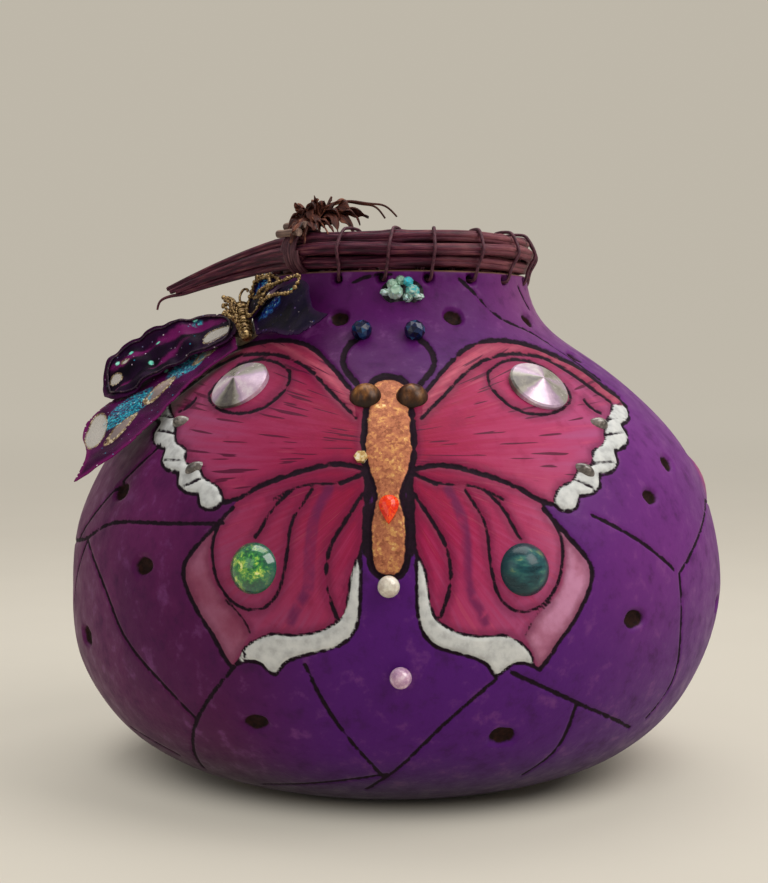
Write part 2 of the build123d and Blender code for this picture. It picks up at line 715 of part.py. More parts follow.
def hindwing(frame, side, span, tail_span, tail_depth):
    """Cloth hindwing with its tail, the lower layer."""
    with BuildPart() as wing:
        with BuildSketch(frame.offset(-LAYER_GAP / 2 - CLOTH)):
            with BuildLine():
                Spline(
                    (side * root_x, 0.02 * tail_depth),
                    (side * 0.55 * span, -0.02 * tail_depth),
                    (side * span, -0.34 * tail_depth),
                    (side * 0.985 * span, -0.72 * tail_depth),
                    (side * tail_span, -tail_depth),
                )
                Spline(
                    (side * tail_span, -tail_depth),
                    (side * 0.72 * span, -0.97 * tail_depth),
                    (side * 0.30 * span, -0.56 * tail_depth),
                    (side * root_x, -0.36 * tail_depth),
                )
                Line((side * root_x, -0.36 * tail_depth), (side * root_x, 0.02 * tail_depth))
            make_face()
        extrude(amount=CLOTH)
    return wing


def wing_wire(frame, side, span, chord):
    """Shaping wire laid in a closed loop on the forewing."""
    lift = LAYER_GAP / 2 + CLOTH + WIRE_RADIUS + WIRE_SEAT
    with BuildPart() as wire:
        with BuildLine(frame.offset(lift)) as loop:
            Spline(*forewing_points(side, span, chord, WIRE_INSET), periodic=True)
        with BuildSketch(Plane(origin=loop.line @ 0, x_dir=frame.z_dir, z_dir=loop.line % 0)):
            RegularPolygon(WIRE_RADIUS, WIRE_SIDES)
        sweep(path=loop.line)
    return wire


left_forewing = forewing(left_frame, -1, FOREWING_SPAN, FOREWING_CHORD)
left_hindwing = hindwing(left_frame, -1, HINDWING_SPAN, TAIL_SPAN, TAIL_DEPTH)
left_wing_wire = wing_wire(left_frame, -1, FOREWING_SPAN, FOREWING_CHORD)
right_forewing = forewing(right_frame, 1, RIGHT_FOREWING_SPAN, RIGHT_FOREWING_CHORD)
right_hindwing = hindwing(right_frame, 1, RIGHT_HINDWING_SPAN, RIGHT_TAIL_SPAN, RIGHT_TAIL_DEPTH)
right_wing_wire = wing_wire(right_frame, 1, RIGHT_FOREWING_SPAN, RIGHT_FOREWING_CHORD)

# Export, one file for each piece
PIECES = {
    "gourd_shell": gourd_shell,
    "rim_stems": rim_stems,
    "rim_tail_stems": rim_tail_stems,
    "rim_stub_stems": rim_stub_stems,
    "rim_binding": rim_binding,
    "rim_lashing": rim_lashing,
    "tuft": tuft,
    "rivoli_left": rivoli_left,
    "rivoli_right": rivoli_right,
    "dome_left": dome_left,
    "dome_right": dome_right,
    "eye_left": eye_left,
    "eye_right": eye_right,
    "drop_stone": drop_stone,
    "pearl_upper": pearl_upper,
    "pearl_lower": pearl_lower,
    "antenna_bead_left": antenna_bead_left,
    "antenna_bead_right": antenna_bead_right,
    "cluster_setting": cluster_setting,
    "cluster_stones": cluster_stones,
    "accent_crystal": accent_crystal,
    "margin_stones": margin_stones,
    "ornament_pad": ornament_pad,
    "ornament_body": ornament_body,
    "ornament_antennae": ornament_antennae,
    "left_forewing": left_forewing,
    "left_hindwing": left_hindwing,
    "left_wing_wire": left_wing_wire,
    "right_forewing": right_forewing,
    "right_hindwing": right_hindwing,
    "right_wing_wire": right_wing_wire,
}
os.makedirs("parts", exist_ok=True)
for label, piece in PIECES.items():
    piece.part.label = label
    export_step(piece.part, "parts/" + label + ".step")
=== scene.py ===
"""Dressed scene of a dyed gourd bowl.

A purple gourd with a carved net, a painted butterfly set with stones, a lashed rim of plant stems
and a wired cloth butterfly on its neck. Sizes are in millimetres unless a name says otherwise.
"""

import json
import logging
import math
from dataclasses import dataclass, replace
from enum import Enum
from functools import cache
from typing import Callable, Sequence

import bpy
import numpy as np
from mathutils import Matrix, Vector

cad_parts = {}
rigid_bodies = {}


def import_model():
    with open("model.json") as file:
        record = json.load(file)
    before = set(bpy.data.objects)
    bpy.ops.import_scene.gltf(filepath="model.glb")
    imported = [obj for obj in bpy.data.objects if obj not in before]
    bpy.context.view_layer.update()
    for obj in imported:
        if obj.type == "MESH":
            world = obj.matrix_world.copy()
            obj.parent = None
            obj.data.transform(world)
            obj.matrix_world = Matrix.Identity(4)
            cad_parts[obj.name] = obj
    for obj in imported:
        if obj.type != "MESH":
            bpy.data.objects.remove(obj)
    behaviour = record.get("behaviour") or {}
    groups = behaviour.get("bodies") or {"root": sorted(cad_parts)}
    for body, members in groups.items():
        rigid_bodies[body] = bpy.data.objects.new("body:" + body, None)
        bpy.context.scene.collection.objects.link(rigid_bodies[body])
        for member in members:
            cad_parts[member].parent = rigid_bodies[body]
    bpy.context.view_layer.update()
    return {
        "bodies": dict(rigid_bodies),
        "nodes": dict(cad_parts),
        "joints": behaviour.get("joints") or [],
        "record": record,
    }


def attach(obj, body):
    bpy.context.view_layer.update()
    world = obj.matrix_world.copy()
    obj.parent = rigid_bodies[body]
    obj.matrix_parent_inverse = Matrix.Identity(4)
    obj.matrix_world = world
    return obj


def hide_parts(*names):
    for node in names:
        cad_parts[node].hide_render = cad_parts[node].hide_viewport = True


LOG = logging.getLogger("gourd_scene")
MM = 0.001
TURN = 2.0 * math.pi
UP = np.array([0.0, 0.0, 1.0])
FAR = 9.0
SIDES = ((-1, "left"), (1, "right"))

Pair = tuple[float, float]
Triple = tuple[float, float, float]
Colour = tuple[float, float, float, float]
Stop = tuple[float, float, float, float]
Rows = np.ndarray
Number = float | Rows
Piece = bpy.types.Object
Socket = bpy.types.NodeSocket
Feed = Socket | float | Sequence[float]


def paint(red: float, green: float, blue: float) -> Colour:
    """Linear colour of a paint given on the usual 0 to 255 scale.

    Args:
        red, green, blue: display values of the paint.

    Returns:
        The colour as a shader socket takes it.
    """
    parts = []
    for value in (red, green, blue):
        share = value / 255.0
        parts.append(share / 12.92 if share <= 0.04045 else ((share + 0.055) / 1.055) ** 2.4)
    return (parts[0], parts[1], parts[2], 1.0)


def smooth(points: Sequence[Sequence[float]], count: int, closed: bool = False) -> Rows:
    """Natural cubic curve through some points, sampled evenly.

    Args:
        points: points that the curve goes through.
        count: number of samples.
        closed: whether the curve runs back to its first point.

    Returns:
        The samples, one row each.
    """
    knots = np.asarray(points, float)
    wrap = 4
    total = len(knots)
    if closed:
        knots = np.vstack([knots[-wrap:], knots, knots[:wrap]])
    steps = np.maximum(np.linalg.norm(np.diff(knots, axis=0), axis=1), 1e-9)
    stations = np.concatenate([[0.0], np.cumsum(steps)])
    size = len(knots)
    left = np.eye(size)
    right = np.zeros_like(knots)
    for row in range(1, size - 1):
        left[row, row - 1:row + 2] = steps[row - 1], 2 * (steps[row - 1] + steps[row]), steps[row]
        right[row] = 6 * (
            (knots[row + 1] - knots[row]) / steps[row] - (knots[row] - knots[row - 1]) / steps[row - 1]
        )
    bends = np.linalg.solve(left, right)
    first, last = (stations[wrap], stations[wrap + total]) if closed else (0.0, stations[-1])
    where = np.linspace(first, last, count, endpoint=not closed)
    span = np.clip(np.searchsorted(stations, where, side="right") - 1, 0, size - 2)
    after = ((where - stations[span]) / steps[span])[:, None]
    before = 1.0 - after
    bow = (before ** 3 - before) * bends[span] + (after ** 3 - after) * bends[span + 1]
    return before * knots[span] + after * knots[span + 1] + bow * (steps[span] ** 2)[:, None] / 6


def distance_to(places: Rows, line: Rows) -> Rows:
    """Least distance from each place to a run of straight lines.

    Args:
        places: places, one row each.
        line: corners of the run, one row each.

    Returns:
        One distance for each place.
    """
    best = np.full(len(places), 1e9)
    for start, end in zip(line[:-1], line[1:]):
        along = end - start
        share = np.clip((places - start) @ along / max(float(along @ along), 1e-12), 0.0, 1.0)
        gap = places - start - share[:, None] * along
        best = np.minimum(best, np.einsum("ij,ij->i", gap, gap))
    return np.sqrt(best)


def signed_distance(places: Rows, outline: Rows) -> Rows:
    """Distance to a closed outline, negative inside it.

    Args:
        places: places in the plane, one row each.
        outline: corners of the outline, one row each.

    Returns:
        One signed distance for each place.
    """
    ring = np.vstack([outline, outline[:1]])
    inside = np.zeros(len(places), bool)
    for (x0, y0), (x1, y1) in zip(ring[:-1], ring[1:]):
        crosses = (y0 > places[:, 1]) != (y1 > places[:, 1])
        rise = y1 - y0 if abs(y1 - y0) > 1e-12 else 1e-12
        inside ^= crosses & (places[:, 0] < x0 + (places[:, 1] - y0) * (x1 - x0) / rise)
    return np.where(inside, -1.0, 1.0) * distance_to(places, ring)


class Graph:
    """Nodes of one material, wired step by step."""

    def __init__(self, name: str) -> None:
        """Start a material with its shader.

        Args:
            name: name of the material.
        """
        self.material = bpy.data.materials.new(name)
        self.material.use_nodes = True
        self.tree = self.material.node_tree
        self.tree.nodes.clear()
        self.shader = self.node("BsdfPrincipled", {})
        self.node("OutputMaterial", {"Surface": self.shader.outputs[0]})

    def feed(self, socket: Socket, value: Feed) -> None:
        """Link a socket, or set its constant.

        Args:
            socket: input to feed.
            value: another node's output, a number or a colour.
        """
        if isinstance(value, Socket):
            self.tree.links.new(value, socket)
        else:
            socket.default_value = value

    def node(self, kind: str, feeds: dict[int | str, Feed], **settings: str) -> bpy.types.Node:
        """New node with its settings and inputs.

        Args:
            kind: type of the node, without its prefix.
            feeds: what its inputs get, by number or name.
            settings: its own choices.

        Returns:
            The node.
        """
        node = self.tree.nodes.new(f"ShaderNode{kind}")
        for name, choice in settings.items():
            setattr(node, name, choice)
        for key, value in feeds.items():
            self.feed(node.inputs[key], value)
        return node

    def put(self, **inputs: Feed) -> None:
        """Feed the shader's own inputs, named with underscores for spaces."""
        for name, value in inputs.items():
            self.feed(self.shader.inputs[name.replace("_", " ")], value)

    def attribute(self, name: str, output: str = "Fac") -> Socket:
        """Output of a mesh attribute."""
        return self.node("Attribute", {}, attribute_name=name).outputs[output]

    def millimetres(self) -> Socket:
        """Object coordinates in millimetres."""
        return self.stretched(self.node("TexCoord", {}).outputs["Object"], (1000.0, 1000.0, 1000.0))

    def stretched(self, vector: Socket, scale: Triple) -> Socket:
        """A vector times a scale for each axis."""
        return self.node("VectorMath", {0: vector, 1: scale}, operation="MULTIPLY").outputs[0]

    def split(self, vector: Socket) -> Sequence[Socket]:
        """The three parts of a vector."""
        return self.node("SeparateXYZ", {0: vector}).outputs

    def math(self, operation: str, first: Feed, second: Feed = 0.0) -> Socket:
        """One step of arithmetic."""
        return self.node("Math", {0: first, 1: second}, operation=operation).outputs[0]

    def times(self, first: Feed, second: Feed) -> Socket:
        """Product of two values."""
        return self.math("MULTIPLY", first, second)

    def plus(self, first: Feed, second: Feed) -> Socket:
        """Sum of two values."""
        return self.math("ADD", first, second)

    def waver(self, noise: Socket, size: float) -> Socket:
        """Noise about nought, times a size."""
        return self.times(self.math("SUBTRACT", noise, 0.5), size)

    def span(self, value: Feed, low: float, high: float, bottom: float = 0.0, top: float = 1.0) -> Socket:
        """Smooth step of a value from one limit to the other."""
        feeds = dict(enumerate((value, low, high, bottom, top)))
        return self.node("MapRange", feeds, interpolation_type="SMOOTHSTEP").outputs[0]

    def noise(self, vector: Socket, scale: float, detail: float = 3.0, rough: float = 0.55) -> Socket:
        """Soft noise between about 0.3 and 0.7."""
        feeds = {"Vector": vector, "Scale": scale, "Detail": detail, "Roughness": rough}
        return self.node("TexNoise", feeds).outputs["Fac"]

    def cells(self, vector: Socket, scale: float, output: str = "Color") -> Socket:
        """Cells of scattered points: a random colour or the distance to the point."""
        return self.node("TexVoronoi", {"Vector": vector, "Scale": scale}).outputs[output]

    def ramp(self, value: Socket, stops: Sequence[Stop]) -> Socket:
        """Colours along a value.

        Args:
            value: what picks the colour.
            stops: place, red, green and blue of each colour.

        Returns:
            The colour.
        """
        node = self.node("ValToRGB", {0: value})
        keys = node.color_ramp.elements
        for index, (at, *tone) in enumerate(stops):
            key = keys[index] if index < 2 else keys.new(at)
            key.position = at
            key.color = paint(*tone)
        return node.outputs[0]

    def mix(self, share: Feed, first: Feed, second: Feed) -> Socket:
        """Blend of two colours."""
        return self.node("Mix", {0: share, 6: first, 7: second}, data_type="RGBA").outputs[2]

    def bump(self, height: Socket, strength: float, depth: float = 0.3) -> None:
        """Fine relief, with its depth in millimetres."""
        feeds = {"Strength": strength, "Distance": depth * MM, "Height": height}
        self.put(Normal=self.node("Bump", feeds).outputs[0])


class Grain(Enum):
    """What a finish's pattern follows."""

    OBJECT = "object"
    ALONG = "grain"
    FACET = "facet"
    FLAKE = "flake"


@dataclass(frozen=True)
class Finish:
    """Procedural finish of one material; its stops are place, red, green and blue."""

    name: str
    stops: tuple[Stop, ...]
    grain: Grain = Grain.OBJECT
    scale: float = 0.4
    stretch: Triple = (1.0, 1.0, 1.0)
    roughness: Pair = (0.4, 0.6)
    bump: float = 0.2
    bump_depth: float = 0.2
    metallic: float = 0.0
    coat: float = 0.0
    specular: float = 0.5
    inner_light: float = 0.0
    rim: Colour | None = None
    # Colour of the painted light on the side where the light falls, if any
    painted_light_side: Colour | None = None

    @cache
    def build(self) -> bpy.types.Material:
        """Make the material, once.

        Returns:
            The finished material.
        """
        graph = Graph(self.name)
        place = graph.attribute("grain", "Vector") if self.grain is Grain.ALONG else graph.millimetres()
        place = graph.stretched(place, self.stretch)
        pattern = graph.noise(place, self.scale, 5.0, 0.62)
        key = graph.span(pattern, 0.28, 0.72)
        # Painted reflection: each face's stored value picks a darker or brighter tone
        if self.grain is Grain.FACET:
            key = graph.plus(graph.times(graph.attribute("facet"), 0.85), graph.times(key, 0.15))
        if self.grain is Grain.FLAKE:
            flake = graph.split(graph.cells(place, self.scale * 4.0))[0]
            key = graph.plus(graph.times(flake, 0.3), graph.times(key, 0.7))
        colour = graph.ramp(key, self.stops)
        if self.rim is not None:
            colour = graph.mix(graph.span(graph.attribute("facet"), 0.5, 0.98, 0.0, 0.9), colour, self.rim)
        # Painted light: the colour turns lighter towards the right, where the light falls
        if self.painted_light_side is not None:
            level = graph.millimetres()
            across = graph.plus(graph.split(level)[0], graph.waver(graph.noise(level, 0.12), 60.0))
            colour = graph.mix(graph.span(across, 4.0, 44.0, 0.0, 0.6), colour, self.painted_light_side)
        graph.put(Base_Color=colour, Metallic=self.metallic, Specular_IOR_Level=self.specular,
                  Roughness=graph.span(pattern, 0.3, 0.7, *self.roughness),
                  Coat_Weight=self.coat, Coat_Roughness=0.04)
        if self.inner_light > 0.0:
            graph.put(Subsurface_Weight=self.inner_light, Subsurface_Radius=(1.0, 0.7, 0.6),
                      Subsurface_Scale=1.2 * MM)
        graph.bump(graph.noise(place, self.scale * 3.0, 4.0), self.bump, self.bump_depth)
        return graph.material

    def dress(self, piece: Piece, node: str, body: str = "root", slot: str = "") -> None:
        """Fit a piece in this finish."""
        fit(piece, body, slot or self.name, self.build(), node)


class Bench:
    """Ways to make and finish mesh pieces."""

    @staticmethod
    def clear() -> None:
        """Leave nothing selected."""
        bpy.ops.object.select_all(action="DESELECT")

    @staticmethod
    def take(piece: Piece) -> None:
        """Make a piece the only one that is selected.

        Args:
            piece: mesh piece.
        """
        Bench.clear()
        bpy.context.view_layer.objects.active = piece
        piece.select_set(True)

    @staticmethod
    def start(name: str, primitive: Callable, **sizes: float | str) -> Piece:
        """Add the primitive that a piece is shaped from.

        Args:
            name: name of the piece.
            primitive: operator that adds it.
            sizes: what the operator is given.

        Returns:
            The piece.
        """
        Bench.clear()
        primitive(**sizes)
        piece = bpy.context.object
        piece.name = name
        return piece

    @staticmethod
    def edit(piece: Piece) -> None:
        """Open one piece with all of it selected.

        Args:
            piece: mesh piece.
        """
        Bench.take(piece)
        bpy.ops.object.mode_set(mode="EDIT")
        bpy.ops.mesh.select_mode(type="VERT")
        bpy.ops.mesh.select_all(action="SELECT")

    @staticmethod
    def pick(piece: Piece, faces: bool, chosen: Rows) -> None:
        """Open a piece with some of its faces or corners selected.

        Args:
            piece: mesh piece.
            faces: whether faces are chosen, or else corners.
            chosen: whether each one is.
        """
        Bench.take(piece)
        mesh = piece.data
        bpy.context.tool_settings.mesh_select_mode = (not faces, False, faces)
        for parts in (mesh.vertices, mesh.edges, mesh.polygons):
            parts.foreach_set("select", np.zeros(len(parts), bool))
        (mesh.polygons if faces else mesh.vertices).foreach_set("select", chosen)
        bpy.ops.object.mode_set(mode="EDIT")

    @staticmethod
    def close(threshold: float = 1e-3) -> None:
        """Merge seams, turn all faces outwards and leave the piece.

        Args:
            threshold: how near two corners are when they merge.
        """
        bpy.ops.mesh.select_all(action="SELECT")
        bpy.ops.mesh.remove_doubles(threshold=threshold * MM)
        bpy.ops.mesh.normals_make_consistent(inside=False)
        bpy.ops.object.mode_set(mode="OBJECT")

    @staticmethod
    def draw_up(height: float) -> None:
        """Extrude what is selected straight up."""
        bpy.ops.mesh.extrude_region_move(TRANSFORM_OT_translate={"value": (0, 0, height * MM)})

    @staticmethod
    def narrow(across: float, along: float) -> None:
        """Scale what is selected about the piece's own axis."""
        bpy.ops.transform.resize(value=(across, along, 1.0), center_override=(0, 0, 0))

    @staticmethod
    def cut_foot(rise: float) -> None:
        """Raise the open piece and cut it off level at its foot."""
        bpy.ops.transform.translate(value=(0, 0, rise * MM))
        bpy.ops.mesh.bisect(plane_co=(0, 0, 0), plane_no=(0, 0, 1), use_fill=True, clear_inner=True)

    @staticmethod
    def thicken(piece: Piece, thickness: float, offset: float = -1.0) -> None:
        """Give a sheet its thickness.

        Args:
            piece: sheet.
            thickness: distance between its two sides.
            offset: -1 to grow on one side, 0 to grow on both.
        """
        thick = piece.modifiers.new("thick", "SOLIDIFY")
        thick.thickness = thickness * MM
        thick.offset = offset
        Bench.take(piece)
        bpy.ops.object.modifier_apply(modifier=thick.name)

    @staticmethod
    def corners(piece: Piece) -> Rows:
        """All corners of a piece, one row each.

        Args:
            piece: mesh piece.

        Returns:
            The places of its corners.
        """
        flat = np.empty(3 * len(piece.data.vertices))
        piece.data.vertices.foreach_get("co", flat)
        return flat.reshape(-1, 3) / MM

    @staticmethod
    def rings(piece: Piece) -> Rows:
        """Selected corners of the piece that is open, one row each."""
        piece.update_from_editmode()
        return np.array([corner.co for corner in piece.data.vertices if corner.select]) / MM

    @staticmethod
    def move(piece: Piece, places: Rows) -> None:
        """Put every corner of a piece at a new place, one row each."""
        piece.data.vertices.foreach_set("co", (places * MM).ravel())
        piece.data.update()

    @staticmethod
    def mark(piece: Piece, name: str, values: Rows, domain: str = "POINT") -> None:
        """Store values on a piece's corners or faces.

        Args:
            piece: mesh piece.
            name: name of the values.
            values: one number or one triple for each element.
            domain: POINT for corners, FACE for faces.
        """
        single = values.ndim == 1
        layer = piece.data.attributes.new(name, "FLOAT" if single else "FLOAT_VECTOR", domain)
        layer.data.foreach_set(
            "value" if single else "vector", np.ascontiguousarray(values, np.float32).ravel()
        )

    @staticmethod
    def chain(name: str, points: Sequence[Triple]) -> Piece:
        """Chain of edges, drawn by extruding one corner from point to point.

        Args:
            name: name of the piece.
            points: where the chain goes.

        Returns:
            The chain.
        """
        piece = Bench.start(name, bpy.ops.mesh.primitive_plane_add, size=MM)
        Bench.edit(piece)
        bpy.ops.mesh.merge(type="CENTER")
        bpy.ops.transform.translate(value=Vector(points[0]) * MM)
        for before, after in zip(points[:-1], points[1:]):
            step = (Vector(after) - Vector(before)) * MM
            bpy.ops.mesh.extrude_region_move(TRANSFORM_OT_translate={"value": step})
        bpy.ops.object.mode_set(mode="OBJECT")
        return piece

    @staticmethod
    def net(name: str, wide: int, tall: int) -> tuple[Piece, Rows, Rows]:
        """Flat net of faces, ready to be bent into shape.

        Args:
            name: name of the piece.
            wide: faces across.
            tall: faces along.

        Returns:
            The piece, and for each corner its shares across and along.
        """
        piece = Bench.start(
            name, bpy.ops.mesh.primitive_grid_add, x_subdivisions=wide, y_subdivisions=tall, size=2.0
        )
        flat = Bench.corners(piece) * MM
        return piece, (flat[:, 0] + 1.0) / 2.0, (flat[:, 1] + 1.0) / 2.0

    @staticmethod
    def frames(path: Rows, closed: bool) -> tuple[Rows, Rows]:
        """Two directions square to a path, carried along it without twist.

        Args:
            path: points of the path.
            closed: whether it runs back to its start.

        Returns:
            The two directions at each point.
        """
        if closed:
            along = np.roll(path, -1, axis=0) - np.roll(path, 1, axis=0)
        else:
            along = np.gradient(path, axis=0)
        along /= np.linalg.norm(along, axis=1)[:, None]
        guess = UP if abs(along[0, 2]) < 0.9 else np.array([1.0, 0.0, 0.0])
        firsts = np.zeros_like(path)
        for row, heading in enumerate(along):
            guess = guess - heading * (guess @ heading)
            guess /= np.linalg.norm(guess)
            firsts[row] = guess
        return firsts, np.cross(along, firsts)

    @staticmethod
    def tube(
        name: str, path: Rows, radius: Number, sides: int = 10, closed: bool = False, lobes: float = 0.0
    ) -> Piece:
        """Tube along a path, with its grain stored on it.

        Args:
            name: name of the piece.
            path: points of the path, one row each.
            radius: one radius, or one for each point.
            sides: faces round the tube.
            closed: whether the path runs back to its start.
            lobes: depth of the five grooves along it, as a share of the radius.

        Returns:
            The tube.
        """
        path = np.asarray(path, float)
        radii = np.broadcast_to(np.asarray(radius, float), (len(path),))
        first, second = Bench.frames(path, closed)
        if closed:
            path, radii = np.vstack([path, path[:1]]), np.append(radii, radii[0])
            first, second = np.vstack([first, first[:1]]), np.vstack([second, second[:1]])
        piece, across, along = Bench.net(name, sides, len(path) - 1)
        row = np.rint(along * (len(path) - 1)).astype(int)
        turn = across * TURN
        grooved = radii[row] * (1.0 - lobes * (1.0 - np.abs(np.cos(2.5 * turn))))
        wide, deep = grooved * np.cos(turn), grooved * np.sin(turn)
        Bench.move(piece, path[row] + wide[:, None] * first[row] + deep[:, None] * second[row])
        lengths = np.concatenate([[0.0], np.cumsum(np.linalg.norm(np.diff(path, axis=0), axis=1))])
        Bench.mark(piece, "grain", np.column_stack([lengths[row], wide, deep]))
        Bench.edit(piece)
        bpy.ops.mesh.remove_doubles(threshold=1e-3 * MM)
        if not closed:
            bpy.ops.mesh.fill_holes(sides=0)
        Bench.close()
        Bench.shade(piece, 50.0)
        return piece

    @staticmethod
    def shade(piece: Piece, angle: float) -> None:
        """Shade a piece smoothly up to an angle in degrees."""
        Bench.take(piece)
        bpy.ops.object.shade_smooth_by_angle(angle=math.radians(angle))

    @staticmethod
    def join(name: str, pieces: Sequence[Piece]) -> Piece:
        """Join pieces of one kind into one.

        Args:
            name: name of the joined piece.
            pieces: what is joined.

        Returns:
            The joined piece.
        """
        Bench.take(pieces[0])
        for piece in pieces:
            piece.select_set(True)
        if len(pieces) > 1:
            bpy.ops.object.join()
        pieces[0].name = name
        return pieces[0]

    @staticmethod
    def place(piece: Piece, frame: Matrix) -> Piece:
        """Carry a piece from its own frame into the object's.

        Args:
            piece: mesh piece made about the origin, in metres.
            frame: the frame, in metres.

        Returns:
            The same piece.
        """
        piece.data.transform(frame)
        piece.data.update()
        return piece


def fit(piece: Piece, body: str, slot: str, material: bpy.types.Material, *nodes: str) -> None:
    """Give a finished piece its material, its body and the nodes it stands for.

    Args:
        piece: finished piece.
        body: body that it moves with.
        slot: the record's material slot; not used.
        material: finish.
        nodes: nodes that it replaces.
    """
    piece.data.materials.clear()
    piece.data.materials.append(material)
    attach(piece, body)
    if nodes:
        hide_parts(*nodes)
    LOG.info("%s rides on %s in place of %s", piece.name, body, ", ".join(nodes))


OUTER_STATIONS: tuple[Pair, ...] = (
    (40.0, 0.0), (58.0, 4.0), (79.4, 14.0), (95.0, 34.0), (100.0, 60.0), (96.6, 84.0), (86.7, 104.0),
    (73.8, 118.0), (58.1, 130.0), (43.7, 142.0), (39.4, 157.0), (41.0, 171.0),
)
RIM_HEIGHT = 154.3
RIM_TILT = math.radians(3.0)
RIM_SLOPE = math.tan(RIM_TILT)
FIGURE_X = -3.4
PROFILE = smooth(OUTER_STATIONS, 3000)


def girth(height: Number) -> Number:
    """Radius of the gourd's skin at a height, or at many."""
    return np.interp(height, PROFILE[:, 1], PROFILE[:, 0])


def on_skin(azimuth: Number, height: Number) -> Rows:
    """Places on the gourd's skin, one row each, by azimuth in degrees and height."""
    turn, radius = np.radians(azimuth), girth(height)
    return np.column_stack([radius * np.cos(turn), radius * np.sin(turn), np.asarray(height, float)])


def skin_normal(places: Rows) -> Rows:
    """Directions away from the gourd's skin.

    Args:
        places: places on the skin, one row each.

    Returns:
        Unit directions, one row each.
    """
    slope = (girth(places[:, 2] + 0.2) - girth(places[:, 2] - 0.2)) / 0.4
    out = places[:, :2] / np.maximum(np.linalg.norm(places[:, :2], axis=1), 1e-6)[:, None]
    normal = np.column_stack([out, -slope])
    return normal / np.linalg.norm(normal, axis=1)[:, None]


def rim_point(radius: Number, azimuth: Number, height: Number) -> Rows:
    """Places in the rim's own cylindrical coordinates.

    Args:
        radius, azimuth, height: distances and degrees, one or many.

    Returns:
        The places, one row each.
    """
    turn = np.radians(np.atleast_1d(azimuth))
    radius, tall = np.broadcast_to(radius, turn.shape), np.broadcast_to(height, turn.shape)
    along = radius * np.sin(turn)
    return np.column_stack([
        radius * np.cos(turn),
        along * math.cos(RIM_TILT) + tall * math.sin(RIM_TILT),
        RIM_HEIGHT - along * math.sin(RIM_TILT) + tall * math.cos(RIM_TILT),
    ])


def bend_towards(start: Rows, knee: Rows, end: Rows, share: Rows) -> Rows:
    """Simple bend between two places, drawn towards its knee."""
    return (1 - share) ** 2 * start + 2 * share * (1 - share) * knee + share ** 2 * end


def seat(x: float, z: float, depth: float = 0.6) -> Matrix:
    """Frame of a stone's seat on the front of the gourd, in metres.

    Args:
        x, z: place of the seat as seen from the front.
        depth: how deep its floor lies under the skin.

    Returns:
        The frame: x to the right, y up along the skin, z away from it.
    """
    radius = float(girth(z))
    place = np.array([[x, -math.sqrt(radius ** 2 - x ** 2), z]])
    out = Vector(skin_normal(place)[0])
    right = Vector((0.0, 0.0, 1.0)).cross(out).normalized()
    up = out.cross(right)
    origin = (Vector(place[0]) - out * depth) * MM
    return Matrix.Translation(origin) @ Matrix((right, up, out)).transposed().to_4x4()


@dataclass(frozen=True)
class Stroke:
    """One painted or burnt line: its points and its width."""

    points: tuple[Pair, ...]
    width: float = 1.2

    def sampled(self, spacing: float = 1.6) -> Rows:
        """Smooth line through the points, with samples about so far apart."""
        length = float(np.linalg.norm(np.diff(np.asarray(self.points), axis=0), axis=1).sum())
        return smooth(self.points, max(6, int(length / spacing)))


